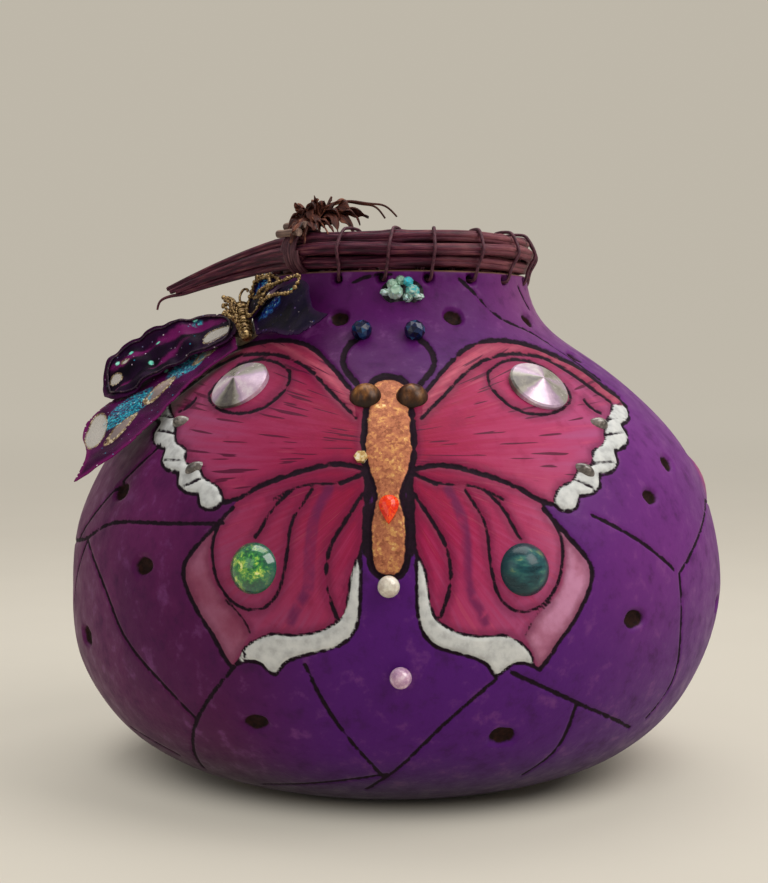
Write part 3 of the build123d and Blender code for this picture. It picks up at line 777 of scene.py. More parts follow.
@dataclass(frozen=True)
class Figure:
    """Painted butterfly, symmetric about its midline; points are (distance from midline, height)."""

    top_edge: tuple[Pair, ...] = (
        (10, 122), (14.3, 126.8), (18, 130.4), (22.5, 133.6), (28, 135.2), (34, 135.3), (40, 134.4),
        (46, 132.6), (51.5, 130.2), (56.5, 127.8), (61.2, 124.3), (65.5, 120.9), (69.5, 117.8), (70.3, 116),
    )
    upper_hem: tuple[Pair, ...] = (
        (70.3, 116.2), (70.6, 114.2), (69.8, 112.4), (67.2, 111.6), (68.6, 109.2), (68.2, 106.6),
        (65.9, 105.4), (63.9, 105), (64.6, 102.4), (63.2, 100.2), (60.8, 99.4), (58.6, 99.3), (58.8, 96.8),
        (57, 94.9), (54.2, 94.2), (52.2, 94.1), (51.8, 91.8), (49.4, 90.4), (46.8, 90.8), (45.2, 92.2),
    )
    upper_hem_inner: tuple[Pair, ...] = (
        (65.5, 117.2), (64, 114.6), (62, 112.5), (61.3, 109.2), (60.3, 106.9), (57, 105.4), (56.9, 102.2),
        (53, 101.4), (50.9, 98.6), (47.2, 97), (45.4, 95), (44.8, 92.5),
    )
    bottom_edge: tuple[Pair, ...] = (
        (44.5, 92.6), (40.8, 93.8), (36.5, 96.4), (32, 98.5), (27.5, 100.2), (22.5, 101.8), (17, 103.2),
        (11, 103.4), (6.7, 102.5),
    )
    upper_band: tuple[Pair, ...] = (
        (9, 115.5), (12.3, 118.6), (15.5, 121.4), (18.5, 124.4), (22, 127.4), (27, 130.2), (33.5, 131.7),
        (40, 131.6), (45.5, 130.6), (50.5, 128.1), (55.5, 124.9), (60.3, 121.3), (65, 118),
    )
    eye_loop: tuple[Pair, ...] = (
        (28.2, 127.2), (31.5, 129.3), (36.5, 130.4), (42, 129.4), (47, 126.6), (50.8, 122.8), (52.3, 119.8),
        (49.8, 117.3), (45, 115.9), (39.5, 116.2), (34.5, 118), (30.5, 121.2), (28.3, 124.2),
    )
    lower_outer: tuple[Pair, ...] = (
        (42, 91.5), (45.2, 87.8), (49.5, 83), (53, 78.9), (55.2, 75), (54.9, 70.6), (52, 64.2), (49, 59.6),
        (46, 55.6), (43.5, 51.5), (41.2, 48.6),
    )
    lower_hem: tuple[Pair, ...] = (
        (41, 48.6), (37.5, 50.6), (34, 50.7), (31.5, 49), (29.3, 47.5), (27.3, 50.2), (24.5, 52.3),
        (20.5, 53.8), (16, 55), (12, 56.8), (9.2, 59.8), (7.8, 63.6), (7.4, 69.5), (7.2, 74.8), (7.4, 79.5),
    )
    lower_hem_inner: tuple[Pair, ...] = (
        (8.2, 79.5), (9.6, 76), (10.3, 71.5), (11, 67.3), (12.6, 63.6), (15.5, 61.4), (19.2, 59.7),
        (22.5, 59), (26.7, 58.8), (30.2, 58.8), (33.5, 57.6), (36.5, 55.6), (38.8, 52.6), (39.5, 50.2),
    )
    lower_inner: tuple[Pair, ...] = ((5.8, 98.9), (6.4, 91.9), (6.4, 84.9), (7.8, 79.5))
    lower_top: tuple[Pair, ...] = (
        (4.6, 101), (8.5, 102.9), (12.5, 103.7), (17, 103.5), (22.5, 102.2),
        (27.5, 100.6), (32, 98.9), (36.5, 96.7), (40.2, 94.2), (42, 91.5),
    )
    mauve_edge: tuple[Pair, ...] = (
        (43, 88.5), (46.3, 84.5), (47.8, 80.4), (47.5, 75), (46.2, 70.5),
        (43.5, 67), (40.8, 64.8), (38.2, 61.8), (36.5, 58.5),
    )
    dome_curve: tuple[Pair, ...] = (
        (44.6, 88.2), (46.6, 84), (47, 78.5), (45.6, 72), (42.2, 67.2), (37.5, 64.9), (32.6, 65.8),
        (29.4, 69.2), (27.8, 74), (27, 78.5), (26.5, 84), (25.5, 89), (22.8, 93.5), (20.5, 97),
    )
    soft_vein: tuple[Pair, ...] = (
        (15.8, 97.3), (18, 93.5), (19.8, 89), (20.6, 83.5), (20.8, 77), (21, 72), (23.4, 67), (25.6, 62.5),
    )
    body: tuple[Pair, ...] = (
        (0, 126.4), (3.4, 125.8), (5.4, 123.6), (5.9, 120.1), (6.3, 117), (6.7, 112),
        (6.9, 108.8), (6.6, 105), (5.7, 101.7), (4.3, 98.2), (3.6, 95.9), (4.4, 92.6),
        (5.1, 90), (5.2, 86), (5.1, 81.5), (4.6, 78), (3.6, 75.8), (1.8, 74.7), (0, 74.5),
    )
    antenna: tuple[Pair, ...] = (
        (8.8, 124.3), (11.4, 127), (13, 129.8), (12.6, 132.4), (11.2, 134.4), (9.2, 135.8)
    )

    def strokes(self) -> list[Stroke]:
        """Dark lines of the figure.

        Returns:
            The lines with their widths.
        """
        rows = (
            (self.top_edge, 1.3), (self.upper_hem, 1.0), (self.upper_hem_inner, 0.8), (self.bottom_edge, 1.4),
            (self.upper_band, 1.0), (self.eye_loop + self.eye_loop[:1], 0.9), (self.lower_outer, 1.3),
            (self.lower_hem, 1.0), (self.lower_hem_inner, 0.8), (self.lower_inner, 1.2),
            (self.mauve_edge[5:], 0.5), (((5.9, 100.5), (5.4, 96), (5.9, 91), (6.2, 86), (6.0, 81)), 1.8),
            (((8, 100.4), (15.3, 98.6), (20.6, 98.3), (26.4, 96.6), (31, 94.2)), 0.7),
            (((67.2, 109.5), (64.2, 109.4), (61.3, 109.2)), 0.6),
            (((63.2, 102.2), (60, 102.3), (56.9, 102.2)), 0.6),
            (((56.3, 95.9), (53.6, 97.2), (50.9, 98.6)), 0.6), (((68.2, 113), (65, 113.4), (62, 112.6)), 0.5),
            (self.dome_curve, 0.9), (self.body, 1.9), (self.antenna, 1.7),
            (((7, 96), (10, 91.4), (12.6, 87.4), (15, 83), (16.2, 78.5), (16.2, 73.2),
              (15, 68), (13.5, 64)), 1.1),
            (((25.5, 97), (29.3, 93.6), (32, 90), (33.8, 86.6), (35.5, 84)), 1.0),
            (((56.4, 119), (58, 117), (61.2, 115.2)), 0.9), (((6.7, 101.3), (9.8, 100), (12.9, 98.7)), 1.1),
        )
        return [Stroke(points, width) for points, width in rows]

    def regions(self) -> dict[str, Rows]:
        """Closed outlines of the figure's colours.

        Returns:
            Outlines by name.
        """
        def run(points: tuple[Pair, ...]) -> Rows:
            """Smooth line through an edge's points."""
            return Stroke(points).sampled(1.2)

        top, outer, body = run(self.top_edge), run(self.lower_outer), run(self.body)
        upper_hem, lower_hem = run(self.upper_hem), run(self.lower_hem)
        inner_side = np.array([[4.2, 102.0], [4.0, 110.0], [3.8, 117.0], [4.2, 123.0], [7.0, 124.0]])
        edges = {
            "upper": (top, upper_hem, run(self.bottom_edge), inner_side),
            "lower": (outer, lower_hem, run(self.lower_inner)[::-1], run(self.lower_top)),
            "upper_hem": (upper_hem, run(self.upper_hem_inner)[::-1]),
            "lower_hem": (lower_hem, run(self.lower_hem_inner)),
            "band": (top, run(self.upper_band)[::-1]),
            "mauve": (outer, run(self.mauve_edge)[::-1]),
            "leaf": (body, body[::-1] * (-1.0, 1.0)),
        }
        return {name: np.vstack(runs) for name, runs in edges.items()}


class SkinPaint(Graph):
    """Dye with its painted light and shade, paint and burnt lines of the gourd's skin."""

    def __init__(self) -> None:
        """Start the material with the patterns that its layers share."""
        super().__init__("dyed_gourd")
        self.place = self.millimetres()
        self.x, _, self.z = self.split(self.place)
        self.mottle = self.noise(self.place, 0.16, 5.0, 0.62)
        self.fine = self.noise(self.place, 0.75, 4.0, 0.6)
        self.wobble = self.waver(self.noise(self.place, 0.5, 3.0), 0.9)

    def inside(self, name: str, grow: float = 0.0, soft: float = 0.16, loose: Feed = 0.0) -> Socket:
        """How far each place is inside a painted or burnt edge, from 0 to 1."""
        gap = self.plus(self.plus(self.attribute(name), self.wobble), loose)
        return self.span(gap, grow + soft, grow - soft)

    def dye_and_painted_light(self) -> Socket:
        """Dyed skin, redder to the left, with painted light and shade: lighter to the right where the light
        falls, lighter again at the far left edge as a painted rim light, a painted highlight on the right of
        the neck, and painted shade darkening the foot.

        Returns:
            Its colour.
        """
        x, z, mottle = self.x, self.z, self.mottle
        broad = self.noise(self.place, 0.028, 4.0, 0.6)
        # Painted light: lighter towards the right, where the light falls, and at the far left edge, a painted
        # rim light
        skin = self.ramp(self.plus(self.span(x, -100.0, 105.0), self.waver(broad, 0.5)), (
            (0.0, 96, 25, 82), (0.07, 80, 13, 71), (0.3, 74, 13, 77), (0.62, 76, 20, 94), (1.0, 108, 42, 120),
        ))
        heel = self.times(self.span(z, 66.0, 10.0), self.span(x, 0.0, -60.0))
        skin = self.mix(self.times(heel, 0.7), skin, paint(78, 22, 66))
        violet = self.times(self.span(z, 84.0, 24.0), self.span(x, 0.0, 62.0))
        skin = self.mix(self.times(violet, 0.55), skin, paint(58, 20, 94))
        lap = self.times(self.span(x, -52.0, -12.0), self.span(x, 76.0, 26.0))
        lap = self.times(lap, self.span(z, 110.0, 75.0))
        skin = self.mix(self.times(lap, 0.78), skin, paint(79, 20, 112))
        # Painted highlight: the neck turns light pink towards its right side, where the light falls
        neck_painted_highlight = self.mix(self.span(x, 20.0, 44.0), paint(90, 12, 94), paint(146, 82, 130))
        skin = self.mix(self.span(z, 126.0, 150.0, 0.0, 0.6), skin, neck_painted_highlight)
        skin = self.mix(self.span(mottle, 0.5, 0.78, 0.0, 0.6), skin, paint(52, 14, 58))
        skin = self.mix(self.span(mottle, 0.46, 0.26, 0.0, 0.4), skin, paint(132, 70, 134))
        # Painted shade: the skin turns darker towards the foot, where shade falls under the belly
        skin = self.mix(self.span(z, 27.0, 5.0, 0.0, 0.8), skin, paint(27, 4, 26))
        wart = self.plus(self.attribute("wart"), self.times(self.wobble, 4.0))
        return self.mix(self.span(wart, 10.0, 2.0, 0.0, 0.7), skin, paint(180, 82, 104))

    def wings(self) -> Socket:
        """Brushed paint of the butterfly's wings, with painted shade darkening the left side and a painted
        highlight on the lower right.

        Returns:
            Its colour.
        """
        x = self.x
        flow = self.attribute("flow", "Vector")
        streak = self.noise(flow, 1.0, 3.0, 0.5)
        strand = self.noise(self.stretched(flow, (1.5, 1.3, 1.0)), 1.0, 1.0, 0.4)
        wing = self.ramp(self.plus(self.attribute("outward"), self.waver(streak, 0.8)), (
            (0.08, 142, 17, 56), (0.36, 156, 30, 76), (0.62, 166, 52, 96), (0.95, 162, 74, 118),
        ))
        wing = self.mix(self.span(self.mottle, 0.52, 0.74, 0.0, 0.5), wing, paint(132, 30, 68))
        wing = self.mix(self.span(streak, 0.42, 0.28, 0.0, 0.34), wing, paint(192, 88, 120))
        # Painted shade: the wings darken towards the left, away from the light
        wing = self.mix(self.span(x, 12.0, -34.0, 0.0, 0.3), wing, paint(98, 18, 42))
        band = self.mix(self.span(streak, 0.36, 0.62), paint(198, 92, 112), paint(168, 56, 84))
        wing = self.mix(self.times(self.inside("band"), 0.85), wing, band)
        dashes = self.times(self.span(strand, 0.635, 0.665, 0.0, 0.9), self.inside("upper"))
        wing = self.mix(dashes, wing, paint(78, 14, 44))
        mauve = self.ramp(self.span(self.noise(self.place, 0.1, 5.0), 0.3, 0.7), (
            (0.0, 144, 80, 108), (0.5, 172, 110, 138), (1.0, 194, 136, 168),
        ))
        # Painted shade: the mauve darkens towards the left, away from the light
        mauve = self.mix(self.span(x, 10.0, -30.0, 0.0, 0.6), mauve, paint(117, 33, 63))
        # Painted highlight: the lower right of the wings turns lighter pink, where the light falls
        painted_shine = self.times(self.span(x, 30.0, 56.0), self.span(self.z, 100.0, 90.0))
        wing = self.mix(self.times(painted_shine, 0.4), wing, paint(214, 116, 146))
        wing = self.mix(self.times(self.inside("mauve", 0.0, 0.5), 0.9), wing, mauve)
        wing = self.mix(self.times(self.inside("vein", 0.0, 0.8), 0.7), wing, paint(84, 26, 74))
        near_ink = self.plus(self.attribute("ink"), self.times(self.wobble, 2.0))
        return self.mix(self.span(near_ink, 2.6, 0.2, 0.0, 0.5), wing, paint(92, 18, 56))

    def build(self) -> bpy.types.Material:
        """Lay dye with its painted light and shade, paint, gold leaf, chalk and burnt lines over each other.

        Returns:
            The finished material.
        """
        place, fine, mottle = self.place, self.fine, self.mottle
        wing = self.wings()
        colour = self.mix(self.inside("upper"), self.dye_and_painted_light(), wing)
        colour = self.mix(self.inside("lower"), colour, wing)
        flakes = self.split(self.cells(place, 1.3))[0]
        leaf_key = self.plus(self.times(self.noise(place, 0.3, 9.0, 0.76), 0.85), self.times(flakes, 0.2))
        leafed = self.inside("leaf")
        colour = self.mix(leafed, colour, self.ramp(self.span(leaf_key, 0.32, 0.8), (
            (0.0, 134, 78, 52), (0.3, 168, 102, 74), (0.55, 184, 118, 80),
            (0.8, 204, 150, 88), (1.0, 240, 212, 152),
        )))
        colour = self.mix(self.inside("hem"), colour, self.ramp(
            self.span(self.noise(place, 0.3, 5.0), 0.3, 0.72),
            ((0.0, 174, 175, 174), (0.4, 194, 196, 194), (1.0, 208, 209, 206)),
        ))
        skips = self.span(self.noise(place, 0.2, 2.0), 0.54, 0.74, 0.0, 0.44)
        burnt = self.inside("ink", 0.0, 0.2, skips)
        colour = self.mix(burnt, colour, self.ramp(fine, ((0.3, 16, 6, 16), (0.7, 34, 12, 30))))
        pitted = self.inside("pit", 0.0, 0.3)
        colour = self.mix(pitted, colour, self.ramp(fine, ((0.3, 14, 6, 8), (0.75, 52, 26, 20))))
        # Painted shade: the dents of the lacing holes are painted near-black for the dark inside of the bores
        colour = self.mix(self.inside("hole", -0.2, 0.3), colour, paint(18, 8, 12))
        pith = self.ramp(self.span(mottle, 0.3, 0.7), ((0.0, 96, 70, 46), (1.0, 140, 108, 72)))
        colour = self.mix(self.attribute("inside"), colour, pith)
        dull = self.times(self.math("MAXIMUM", burnt, pitted), 0.3)
        self.put(Base_Color=colour, Metallic=self.times(leafed, 0.3), Specular_IOR_Level=0.14,
                 Roughness=self.plus(self.span(mottle, 0.3, 0.7, 0.4, 0.55), dull))
        self.bump(self.plus(self.times(fine, 0.6), mottle), 0.3, 0.4)
        return self.material


@dataclass
class GourdSkin:
    """Gourd shell with its carved net, pits, holes, wart and painted butterfly."""

    wall: float = 5.0
    row_step: float = 2.6
    columns: int = 240
    groove: float = 0.35
    pit_depth: float = 1.7
    hem_proud: float = 0.4
    wart_radius: float = 9.0
    wart_proud: float = 1.8
    wart_height: float = 92.0
    hole_radius: float = 1.5
    hole_depth: float = 2.4
    hole_drop: float = 2.55
    hole_circle: float = 39.4
    hole_count: int = 15
    hole_step: float = 20.0
    first_hole: float = 242.0
    slant_from: float = 130.0

    # Heights, then the shift to the left or the share of widening there
    belly_lean: tuple[tuple[float, ...], ...] = ((0, 14, 34, 60), (2.4, 2.4, 1.6, 0.0))
    left_swell: tuple[tuple[float, ...], ...] = ((10, 40, 80, 112), (0.0, 0.018, 0.018, 0.0))
    figure: Figure = Figure()

    # Net of burnt lines: (azimuth in degrees, height)
    net_lines: tuple[tuple[Pair, ...], ...] = (
        ((192.2, 74.5), (203.2, 77.8), (210.7, 82.7), (223.4, 85.3), (240, 87.2)),
        ((203, 76.8), (198, 66), (194.3, 56.7)),
        ((203, 76.8), (211.8, 67.1), (218.9, 53.8), (229, 40.8), (234.9, 31.6)),
        ((245.7, 52.6), (238.4, 38.4), (231.1, 24.3), (226, 13)), ((207, 21), (214, 19.2), (221.5, 16.2)),
        ((255.6, 50.9), (258.7, 39.9), (263.1, 28.1), (268.3, 16.7)),
        ((285.3, 46.7), (276.3, 31.3), (268.8, 16.8), (264.6, 11.6)),
        ((268.9, 17.9), (257.9, 14.5), (239.3, 9.5)), ((287.7, 48.4), (300.9, 37.7), (318.6, 25.4)),
        ((300.9, 37.7), (301, 29.4), (300.4, 21.3), (297.2, 14.7)),
        ((303.5, 89.0), (312.6, 81.2), (321.5, 71.4)), ((323, 69.9), (334.8, 80.2), (346.8, 86.9)),
        ((323, 69.9), (324.5, 50.6), (325.8, 35.2), (323.2, 27.2)),
        ((216, 105.9), (203.7, 85.8), (195.4, 75.2)),
        ((296.1, 152.0), (303.7, 147.5), (312.2, 141.6), (328.9, 135.5), (333.4, 123.7)),
        ((248, 150.4), (257, 152.6), (266, 153.0)), ((333.3, 150.5), (336, 147.6), (338.6, 144.4)),
        ((346.8, 86.9), (2, 81), (15, 70), (24, 58)), ((24, 58), (22, 40), (17, 24)),
        ((24, 58), (41, 64), (58, 76)), ((58, 76), (55, 92), (47, 106)), ((58, 76), (72, 66), (82, 52)),
        ((82, 52), (78, 37), (70, 22)), ((82, 52), (99, 59), (112, 70)),
        ((112, 70), (110, 88), (118, 104)), ((112, 70), (129, 65), (144, 54)),
        ((144, 54), (140, 38), (147, 22)), ((144, 54), (160, 62), (192.2, 74.5)),
        ((118, 104), (140, 99), (160, 90), (174, 70)), ((47, 106), (28, 101), (10, 94), (2, 81)),
        ((47, 106), (62, 116), (84, 121), (104, 115), (118, 104)), ((84, 121), (82, 134), (74, 146)),
    )
    pits: tuple[Triple, ...] = (
        (210.9, 92.4, 2.2), (224.2, 73.5, 2.0), (204.5, 48.7, 2.4), (246.7, 32.8, 1.9), (288.5, 29.2, 2.2),
        (310.5, 59.5, 2.1), (319.5, 92.3, 1.7), (331.1, 100.1, 1.9), (290.9, 141.7, 1.6),
        (246.2, 141.4, 1.6), (330.5, 140.8, 1.5), (336.3, 130.3, 1.6), (344, 56, 2.1), (8, 44, 2.0),
        (40, 84, 2.2), (50, 46, 2.0), (74, 92, 2.1), (98, 84, 1.8), (100, 38, 2.2), (128, 44, 1.9),
        (136, 80, 2.2), (166, 46, 2.0), (170, 96, 1.8), (60, 130, 1.6), (120, 128, 1.7),
    )

    def __post_init__(self) -> None:
        """Sample the net, the strokes and the outlines once."""
        self.lines = []
        for points in self.net_lines:
            turns = np.unwrap(np.radians([azimuth for azimuth, _ in points]))
            run = smooth([(math.degrees(turn), point[1]) for turn, point in zip(turns, points)], 14)
            self.lines.append(on_skin(*run.T))
        azimuths, heights, self.pit_sizes = np.array(self.pits).T
        self.pit_places = on_skin(azimuths, heights)
        self.strokes = self.figure.strokes()
        self.regions = self.figure.regions()
        hole_turns = self.first_hole + self.hole_step * np.arange(self.hole_count)
        self.holes = rim_point(self.hole_circle, hole_turns, -self.hole_drop)
        self.level_holes = on_skin(hole_turns, np.full(self.hole_count, RIM_HEIGHT - self.hole_drop))

    def blank(self, count: int) -> dict[str, Rows]:
        """Distances of places that are far from everything painted or carved."""
        return {name: np.full(count, FAR) for name in (*self.regions, "vein", "ink", "pit", "bore")}

    def fields(self, places: Rows) -> dict[str, Rows]:
        """Distances that drive the painting and the carving.

        Args:
            places: places on the level skin, one row each.

        Returns:
            One set of values for each name.
        """
        flat = np.column_stack([np.abs(places[:, 0] - FIGURE_X), places[:, 2]])
        front = (places[:, 1] < 0) & (flat[:, 0] < 80) & (flat[:, 1] > 38) & (flat[:, 1] < 142)
        found = self.blank(len(places))
        for name, outline in self.regions.items():
            found[name][front] = np.minimum(signed_distance(flat[front], outline), FAR)
        for stroke in self.strokes:
            gaps = distance_to(flat[front], stroke.sampled()) - stroke.width / 2
            found["ink"][front] = np.minimum(found["ink"][front], gaps)
        found["vein"][front] = distance_to(flat[front], Stroke(self.figure.soft_vein).sampled()) - 1.3
        for line in self.lines:
            found["ink"] = np.minimum(found["ink"], distance_to(places, line) - 0.6)
        for place, size in zip(self.pit_places, self.pit_sizes):
            x, y, z = (places - place).T
            ragged = 1.05 + 0.07 * np.sin(0.9 * z + 0.7 * x + size * 9) + 0.04 * np.sin(1.6 * x - 1.2 * z)
            gaps = np.hypot(z * 1.3, np.hypot(x, y) * 0.88) - 1.5 * size * ragged
            found["pit"] = np.minimum(found["pit"], gaps)
        for place in self.level_holes:
            gaps = np.linalg.norm(places - place, axis=1) - self.hole_radius
            found["bore"] = np.minimum(found["bore"], gaps)
        return found

    @staticmethod
    def outside(places: Rows) -> Rows:
        """Whether each place lies on the outer skin, clear of the foot and the lip."""
        near = np.abs(np.linalg.norm(places[:, :2], axis=1) - girth(places[:, 2])) < 1.2
        return near & (places[:, 2] > 3) & (places[:, 2] < RIM_HEIGHT - 0.5)

    @staticmethod
    def nearness(fields: dict[str, Rows]) -> Rows:
        """Distance to the nearest edge of anything painted or carved.

        Args:
            fields: what fields() gave.

        Returns:
            One distance for each place.
        """
        near = np.minimum(np.abs(fields["ink"]), np.abs(fields["pit"]))
        near = np.minimum(near, np.maximum(fields["bore"], 0.0))
        for name in ("upper", "lower", "upper_hem", "lower_hem", "leaf"):
            near = np.minimum(near, np.abs(fields[name]))
        return near

    def outline(self) -> list[Triple]:
        """Section of the shell from the middle of the foot, up the outside and down the inside.

        Returns:
            The section's points.
        """
        outer = PROFILE[PROFILE[:, 1] < RIM_HEIGHT - 0.6]
        length = float(np.linalg.norm(np.diff(outer, axis=0), axis=1).sum())
        picks = outer[np.linspace(0, len(outer) - 1, int(length / self.row_step)).astype(int)]
        lip = float(girth(RIM_HEIGHT))
        inner = [(max(float(girth(z)) - self.wall, 0.0), z) for z in np.linspace(RIM_HEIGHT - 1.0, 22.0, 30)]
        section = [(0.0, 0.5), (24.0, 0.5), (34.0, 0.35)] + [tuple(row) for row in picks]
        section += [(lip - 0.3, RIM_HEIGHT - 0.15), (lip - 1.0, RIM_HEIGHT), (lip - 4.0, RIM_HEIGHT)]
        section += [(lip - 4.8, RIM_HEIGHT - 0.25)] + inner
        section += [(70.0, 12.0), (52.0, 7.0), (30.0, 5.2), (0.0, 5.0)]
        return [(radius, 0.0, height) for radius, height in section]

    def refine(self, piece: Piece, reach: float) -> None:
        """Split the outer faces that lie near an edge of the painting or carving.

        Args:
            piece: the shell.
            reach: how near a face's middle has to be.
        """
        faces = piece.data.polygons
        middles = np.empty(3 * len(faces))
        faces.foreach_get("center", middles)
        middles = middles.reshape(-1, 3) / MM
        outer = self.outside(middles) & (middles[:, 2] > 6) & (middles[:, 2] < RIM_HEIGHT - 0.8)
        chosen = np.zeros(len(faces), bool)
        chosen[outer] = self.nearness(self.fields(middles[outer])) < reach
        Bench.pick(piece, True, chosen)
        bpy.ops.mesh.subdivide(number_cuts=1)
        bpy.ops.object.mode_set(mode="OBJECT")
        places = Bench.corners(piece)
        skin = self.outside(places)
        radius = np.linalg.norm(places[skin, :2], axis=1)
        places[skin, :2] *= (girth(places[skin, 2]) / radius)[:, None]
        Bench.move(piece, places)

    @staticmethod
    def brush(piece: Piece, places: Rows, upper: Rows) -> None:
        """Store which way the brush went over the wings.

        Args:
            piece: the shell.
            places: its corners.
            upper: whether each one lies nearer to the upper wings.
        """
        sideways, z = np.abs(places[:, 0] - FIGURE_X), places[:, 2]
        high, low = np.column_stack([sideways + 26, z - 107]), np.column_stack([sideways + 4, z - 106])
        lever = np.where(upper[:, None], high, low)
        sweep = np.arctan2(lever[:, 1], lever[:, 0]) * 40.0
        reach = np.linalg.norm(lever, axis=1) * 0.05
        Bench.mark(piece, "flow", np.column_stack([sweep, reach, np.sign(places[:, 0]) * 30 + upper * 9]))
        Bench.mark(piece, "outward", np.where(upper, sideways / 68.0, np.hypot(sideways - 5, z - 100) / 58.0))

    def carve(self, piece: Piece) -> None:
        """Press the carving into the skin and store what the paint needs.

        Args:
            piece: the shell.
        """
        places = Bench.corners(piece)
        radius = np.linalg.norm(places[:, :2], axis=1)
        skin = self.outside(places)
        found = self.blank(len(places))
        for name, values in self.fields(places[skin]).items():
            found[name][skin] = values
        for name in ("ink", "pit", "vein", "leaf", "band", "mauve", "upper", "lower"):
            Bench.mark(piece, name, np.clip(found[name], -FAR, FAR))
        hem = np.minimum(found["upper_hem"], found["lower_hem"])
        Bench.mark(piece, "hem", hem)
        Bench.mark(piece, "inside", np.where(skin | (places[:, 2] < 2.0), 0.0, 1.0))
        self.brush(piece, places, found["upper"] <= found["lower"])

        lift = -self.groove * np.clip(0.5 - found["ink"] / 0.6, 0.0, 1.0)
        lift -= self.pit_depth * np.clip(0.5 - found["pit"] / 1.6, 0.0, 1.0)
        lift += self.hem_proud * np.clip(-hem / 0.9, 0.0, 1.0)
        wart = np.linalg.norm(places - on_skin([0.0], [self.wart_height])[0], axis=1)
        lift += self.wart_proud * np.clip(1.0 - (wart / self.wart_radius) ** 2, 0.0, 1.0) * skin
        Bench.mark(piece, "wart", np.clip(wart, 0.0, 30.0))
        x, y, z = places.T.copy()
        lift += 0.25 * np.sin(x * 0.11 + 1.0) * np.sin(y * 0.09) * np.sin(z * 0.13 + 0.4) * (z > 8)
        places[skin] += (lift[:, None] * skin_normal(places))[skin]

        # Lower belly leans a little to the left, and the rim is cut on a slant
        places[:, 0] -= np.interp(places[:, 2], *self.belly_lean)
        places[:, 0] += np.interp(places[:, 2], *self.left_swell) * np.minimum(places[:, 0], 0.0)
        top = places[:, 2] > self.slant_from
        share = (places[top, 2] - self.slant_from) / (RIM_HEIGHT - self.slant_from)
        places[top, 2] -= share * places[top, 1] * RIM_SLOPE
        gap = np.min(np.linalg.norm(places[:, None, :] - self.holes[None], axis=2), axis=1) - self.hole_radius
        Bench.mark(piece, "hole", np.clip(gap, -FAR, FAR))
        dent = self.hole_depth * np.clip(0.5 - gap / 1.2, 0.0, 1.0)
        inwards = np.where(skin, -1.0, 1.0) * (places[:, 2] > 140)
        places[:, :2] *= (1.0 + inwards * dent / np.maximum(radius, 20.0))[:, None]
        Bench.move(piece, places)

    def build(self) -> None:
        """Make the shell and fit it in place of its node."""
        piece = Bench.chain("gourd_skin", self.outline())
        Bench.edit(piece)
        bpy.ops.mesh.spin(steps=self.columns, angle=TURN, center=(0, 0, 0), axis=(0, 0, 1))
        Bench.close()
        self.refine(piece, 3.0)
        self.refine(piece, 1.5)
        self.carve(piece)
        Bench.shade(piece, 60.0)
        fit(piece, "root", "dyed_gourd", SkinPaint().build(), "gourd_shell")


